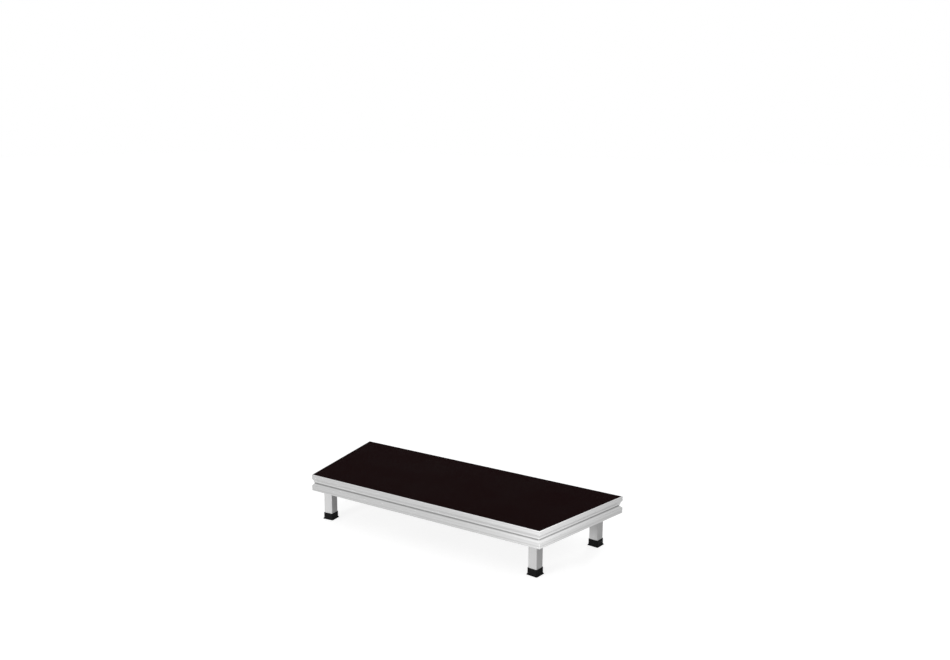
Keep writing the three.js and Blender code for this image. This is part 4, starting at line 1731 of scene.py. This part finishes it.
@dataclass(frozen=True)
class FilmFacedPly:
    """Birch plywood under a brown-black phenolic film: meshed above, smooth below."""

    colour: Triple = (0.0096, 0.0034, 0.0036)
    spread: float = 0.10
    film_fine: float = 700.0
    film_broad: float = 5.0
    mesh_pitch: float = 0.0016
    mesh_depth: float = 0.00018
    mesh_rise: tuple[float, float] = (0.1, 0.7)
    mesh_share: float = 0.5
    mesh_worn: float = 1.25
    mesh_grain: float = 0.15
    mesh_relief: float = 0.6
    roughness: float = 0.705
    roughness_spread: float = 0.09
    specular: float = 0.005
    ply_light: Triple = (0.42, 0.27, 0.15)
    ply_dark: Triple = (0.20, 0.11, 0.055)
    ply_count: float = 9
    ply_soft: float = 0.4
    thickness: float = 0.012
    edge_fine: float = 1800.0
    edge_broad: float = 60.0
    edge_blotch: float = 0.4
    edge_roughness: float = 0.8
    edge_depth: float = 0.0001
    under_light: float = 1.8
    under_roughness: float = 0.4
    under_specular: float = 0.25
    veneer_scale: Triple = (12.0, 420.0, 1.0)
    veneer_depth: float = 0.00008
    veneer_relief: float = 0.3

    def meshed(self, tree: Tree, effects: SharedEffects) -> None:
        """The grip film: square dimples between the imprint of a fine wire cloth.

        The imprint's height at x, y follows |sin(pi x / pitch) * sin(pi y / pitch)|.

        Args:
            tree: The material's nodes.
            effects: The shared node groups.
        """
        grain = effects.use(tree, "grain", Fine=self.film_fine, Broad=self.film_broad)
        waves = []
        for place in tree.axes(tree.spot())[:2]:
            turn = tree.math("MULTIPLY", place, math.pi / self.mesh_pitch)
            waves.append(tree.math("ABSOLUTE", tree.math("SINE", turn)))
        raised = tree.ramp(tree.math("MULTIPLY", *waves), *self.mesh_rise)
        tone = tree.blend(grain["Blotch"], tinted(self.colour, 1 - self.spread),
                          tinted(self.colour, 1 + self.spread))
        rubbed = tree.blend(tree.math("MULTIPLY", raised, self.mesh_share), tone,
                            tinted(self.colour, self.mesh_worn))
        height = tree.math("ADD", raised, tree.math("MULTIPLY", grain["Height"],
                                                    self.mesh_grain))
        tree.coat({"Base Color": rubbed, "Specular IOR Level": self.specular,
                   "Roughness": tree.about(grain["Blotch"], self.roughness,
                                           self.roughness_spread)},
                  height, self.mesh_depth, self.mesh_relief)

    def plies(self, tree: Tree, effects: SharedEffects) -> None:
        """The sawn edge: light and dark plies by height, with short grain.

        Args:
            tree: The material's nodes.
            effects: The shared node groups.
        """
        grain = effects.use(tree, "grain", Fine=self.edge_fine, Broad=self.edge_broad)
        layer = tree.math("MULTIPLY", tree.axes(tree.spot())[2],
                          math.pi * self.ply_count / self.thickness)
        band = tree.ramp(tree.math("SINE", layer), -self.ply_soft, self.ply_soft)
        dark = tinted(self.ply_dark)
        layered = tree.blend(band, dark, tinted(self.ply_light))
        blotch = tree.math("MULTIPLY", grain["Blotch"], self.edge_blotch)
        tree.coat({"Base Color": tree.blend(blotch, layered, dark),
                   "Roughness": self.edge_roughness}, grain["Height"], self.edge_depth)

    def smooth(self, tree: Tree, effects: SharedEffects) -> None:
        """The underside film, smoother, with a trace of the veneer under it.

        Args:
            tree: The material's nodes.
            effects: The shared node groups.
        """
        grain = effects.use(tree, "grain", Fine=self.film_fine, Broad=self.film_broad)
        tone = tree.blend(grain["Blotch"], tinted(self.colour),
                          tinted(self.colour, self.under_light))
        drawn = tree.add("ShaderNodeMapping", {"Vector": tree.spot(), "Scale": self.veneer_scale})
        tree.coat({"Base Color": tone, "Roughness": self.under_roughness,
                   "Specular IOR Level": self.under_specular},
                  tree.noise(drawn.outputs[0], 1.0, detail=3.0), self.veneer_depth,
                  self.veneer_relief)

    def build(self, effects: SharedEffects) -> list[bpy.types.Material]:
        """Makes the finish.

        Args:
            effects: The shared node groups.

        Returns:
            Meshed film, plies and smooth film.
        """
        materials = []
        for name, layer in (("film_meshed", self.meshed), ("ply_edge", self.plies),
                            ("film_smooth", self.smooth)):
            materials.append(bpy.data.materials.new(name))
            layer(Tree.cleared(materials[-1]), effects)
        return materials


def build_finishes(effects: SharedEffects) -> dict[Slot, list[bpy.types.Material]]:
    """Every finish of the riser.

    Args:
        effects: The shared node groups, which are made here.

    Returns:
        The materials of each slot, in the order of the slots on a piece.
    """
    effects.build()
    finishes = {
        Slot.RAIL: DrawnAluminium("rail_satin", level=0.48, metallic=0.60),
        Slot.LEG: DrawnAluminium("leg_satin", level=0.545, spread=0.02, metallic=0.08,
                                 roughness=0.5),
        Slot.CAST: GrainyFinish("cast_blasted", (0.56, 0.565, 0.57), metallic=0.5,
                                roughness=0.62, fine=900.0, depth=0.00018, worn=1.3),
        Slot.PLY: FilmFacedPly(),
        Slot.RUBBER: GrainyFinish("rubber_moulded", (0.0075, 0.0075, 0.0077), roughness=0.75,
                                  fine=1600.0, depth=0.00005, worn=1.3, specular=0.08),
        Slot.PLASTIC: GrainyFinish("plastic_moulded", (0.012, 0.012, 0.0125), roughness=0.45,
                                   fine=2200.0, depth=0.00004),
        Slot.ZINC: GrainyFinish("zinc_plated", (0.50, 0.52, 0.56), shade=0.08, metallic=0.95,
                                roughness=0.32, fine=900.0, depth=0.00002, worn=1.2),
    }
    return {slot: finish.build(effects) for slot, finish in finishes.items()}


# Studio


@dataclass(frozen=True)
class Lamp:
    """A square soft lamp that looks at a point of the riser, its middle if none is given."""

    name: str
    place: Triple
    size: float
    power: float
    target: Triple = (0.0, 0.0, 0.1)
    for_rails: bool = False

    def hang(self, rails: list[bpy.types.Object]) -> None:
        """Puts the lamp in its place, and keeps it to the rails where it is meant for them.

        Args:
            rails: The rails' pieces.
        """
        light = bpy.data.lights.new(self.name, "AREA")
        light.shape, light.size, light.energy = "SQUARE", self.size, self.power
        lamp = link(self.name, light)
        lamp.visible_camera = lamp.visible_glossy = False
        lamp.location = self.place
        aim = Vector(self.target) - Vector(self.place)
        lamp.rotation_euler = aim.to_track_quat("-Z", "Y").to_euler()
        if self.for_rails:
            lit = bpy.data.collections.new(f"{self.name}_lit")
            for rail in rails:
                lit.objects.link(rail)
            lamp.light_linking.receiver_collection = lit


@dataclass
class Studio:
    """White floor, soft lamps and the camera of the photograph."""

    lens: float = 39.1696
    sensor: float = 36.0
    place: Triple = (2.2836, -3.3315, 1.6532)
    yaw: float = -33.2303
    pitch: float = -11.3710
    roll: float = 0.3223
    floor_half: float = 40.0
    floor_level: float = 0.65
    shadow_share: float = 0.45
    floor_glow: float = 0.80
    sky_level: float = 0.50
    lamps: tuple[Lamp, ...] = (
        Lamp("key", (-1.0, -4.0, 0.40), 1.1, 134),
        Lamp("back", (-0.4, 4.2, 1.2), 1.1, 50),
        Lamp("side", (0.85, -0.50, 0.40), 0.35, 6.2, (0.52, -0.20, 0.17), for_rails=True),
    )

    def add_camera(self) -> None:
        """The camera, aimed by yaw and pitch and then rolled about its own line of sight."""
        yaw, pitch, roll = (math.radians(a) for a in (self.yaw, self.pitch, self.roll))
        right = Vector((math.cos(yaw), -math.sin(yaw), 0))
        level = math.cos(pitch)
        ahead = Vector((math.sin(yaw) * level, math.cos(yaw) * level, math.sin(pitch)))
        up = right.cross(ahead)
        x_axis = right * math.cos(roll) + up * math.sin(roll)
        y_axis = up * math.cos(roll) - right * math.sin(roll)
        turn = Matrix((x_axis, y_axis, -ahead)).transposed().to_4x4()
        camera = bpy.data.cameras.new("camera")
        camera.lens, camera.sensor_width = self.lens, self.sensor
        eye = link("camera", camera)
        eye.matrix_world = Matrix.Translation(self.place) @ turn
        bpy.context.scene.camera = eye

    def add_floor(self) -> None:
        """A wide floor that shows white and keeps the riser's shadow."""
        side = self.floor_half
        mesh = bpy.data.meshes.new("floor")
        corners = np.column_stack([rectangle(side, side), np.zeros(4)])
        mesh.from_pydata(corners.tolist(), [], [[0, 1, 2, 3]])
        floor = link("floor", mesh)
        material = bpy.data.materials.new("floor_white")
        tree = Tree.cleared(material)
        seen = tree.seen()
        tone = tree.blend(seen, grey(self.floor_level), grey(self.shadow_share))
        matte = tree.add("ShaderNodeBsdfDiffuse", {"Color": tone})
        glow = tree.math("MULTIPLY", seen, self.floor_glow)
        lift = tree.add("ShaderNodeEmission", {"Color": grey(1.0), "Strength": glow})
        lit = tree.add("ShaderNodeAddShader", {0: matte.outputs[0], 1: lift.outputs[0]})
        back = tree.add("ShaderNodeNewGeometry").outputs["Backfacing"]
        clear = tree.add("ShaderNodeBsdfTransparent")
        whole = tree.add("ShaderNodeMixShader", {0: back, 1: lit.outputs[0], 2: clear.outputs[0]})
        tree.add("ShaderNodeOutputMaterial", {"Surface": whole.outputs[0]})
        mesh.materials.append(material)

    def add_world(self) -> None:
        """An even sky: white where it is seen or reflected, plainer as a light."""
        world = bpy.data.worlds.new("studio_sky")
        tree = Tree.cleared(world)
        strength = tree.ramp(tree.seen(), 0.0, 1.0, self.sky_level, 1.0)
        sky = tree.add("ShaderNodeBackground", {"Color": grey(1.0), "Strength": strength})
        tree.add("ShaderNodeOutputWorld", {"Surface": sky.outputs[0]})
        bpy.context.scene.world = world

    def build(self, rails: list[bpy.types.Object]) -> None:
        """Camera, floor, sky and lamps.

        Args:
            rails: The pieces that a lamp for the rails lights.
        """
        bpy.context.scene.view_settings.view_transform = "Standard"
        self.add_camera()
        self.add_floor()
        self.add_world()
        for lamp in self.lamps:
            lamp.hang(rails)


def main() -> None:
    """Builds the riser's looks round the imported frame."""
    logging.basicConfig(level=logging.INFO, format="%(message)s")
    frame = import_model()
    plan = Plan()
    riser = Riser(frame, plan, plan.corners(), build_finishes(SharedEffects()))
    for part in (RailFrame, DeckBoard, LegSet, FlangeBolts, LegClamps, Underframe):
        part(riser).build()
        LOG.info("%s done", part.__name__)
    Studio().build([bpy.data.objects[f"{name}_extrusion"] for name in RailFrame.names])


if __name__ == "__main__":
    main()
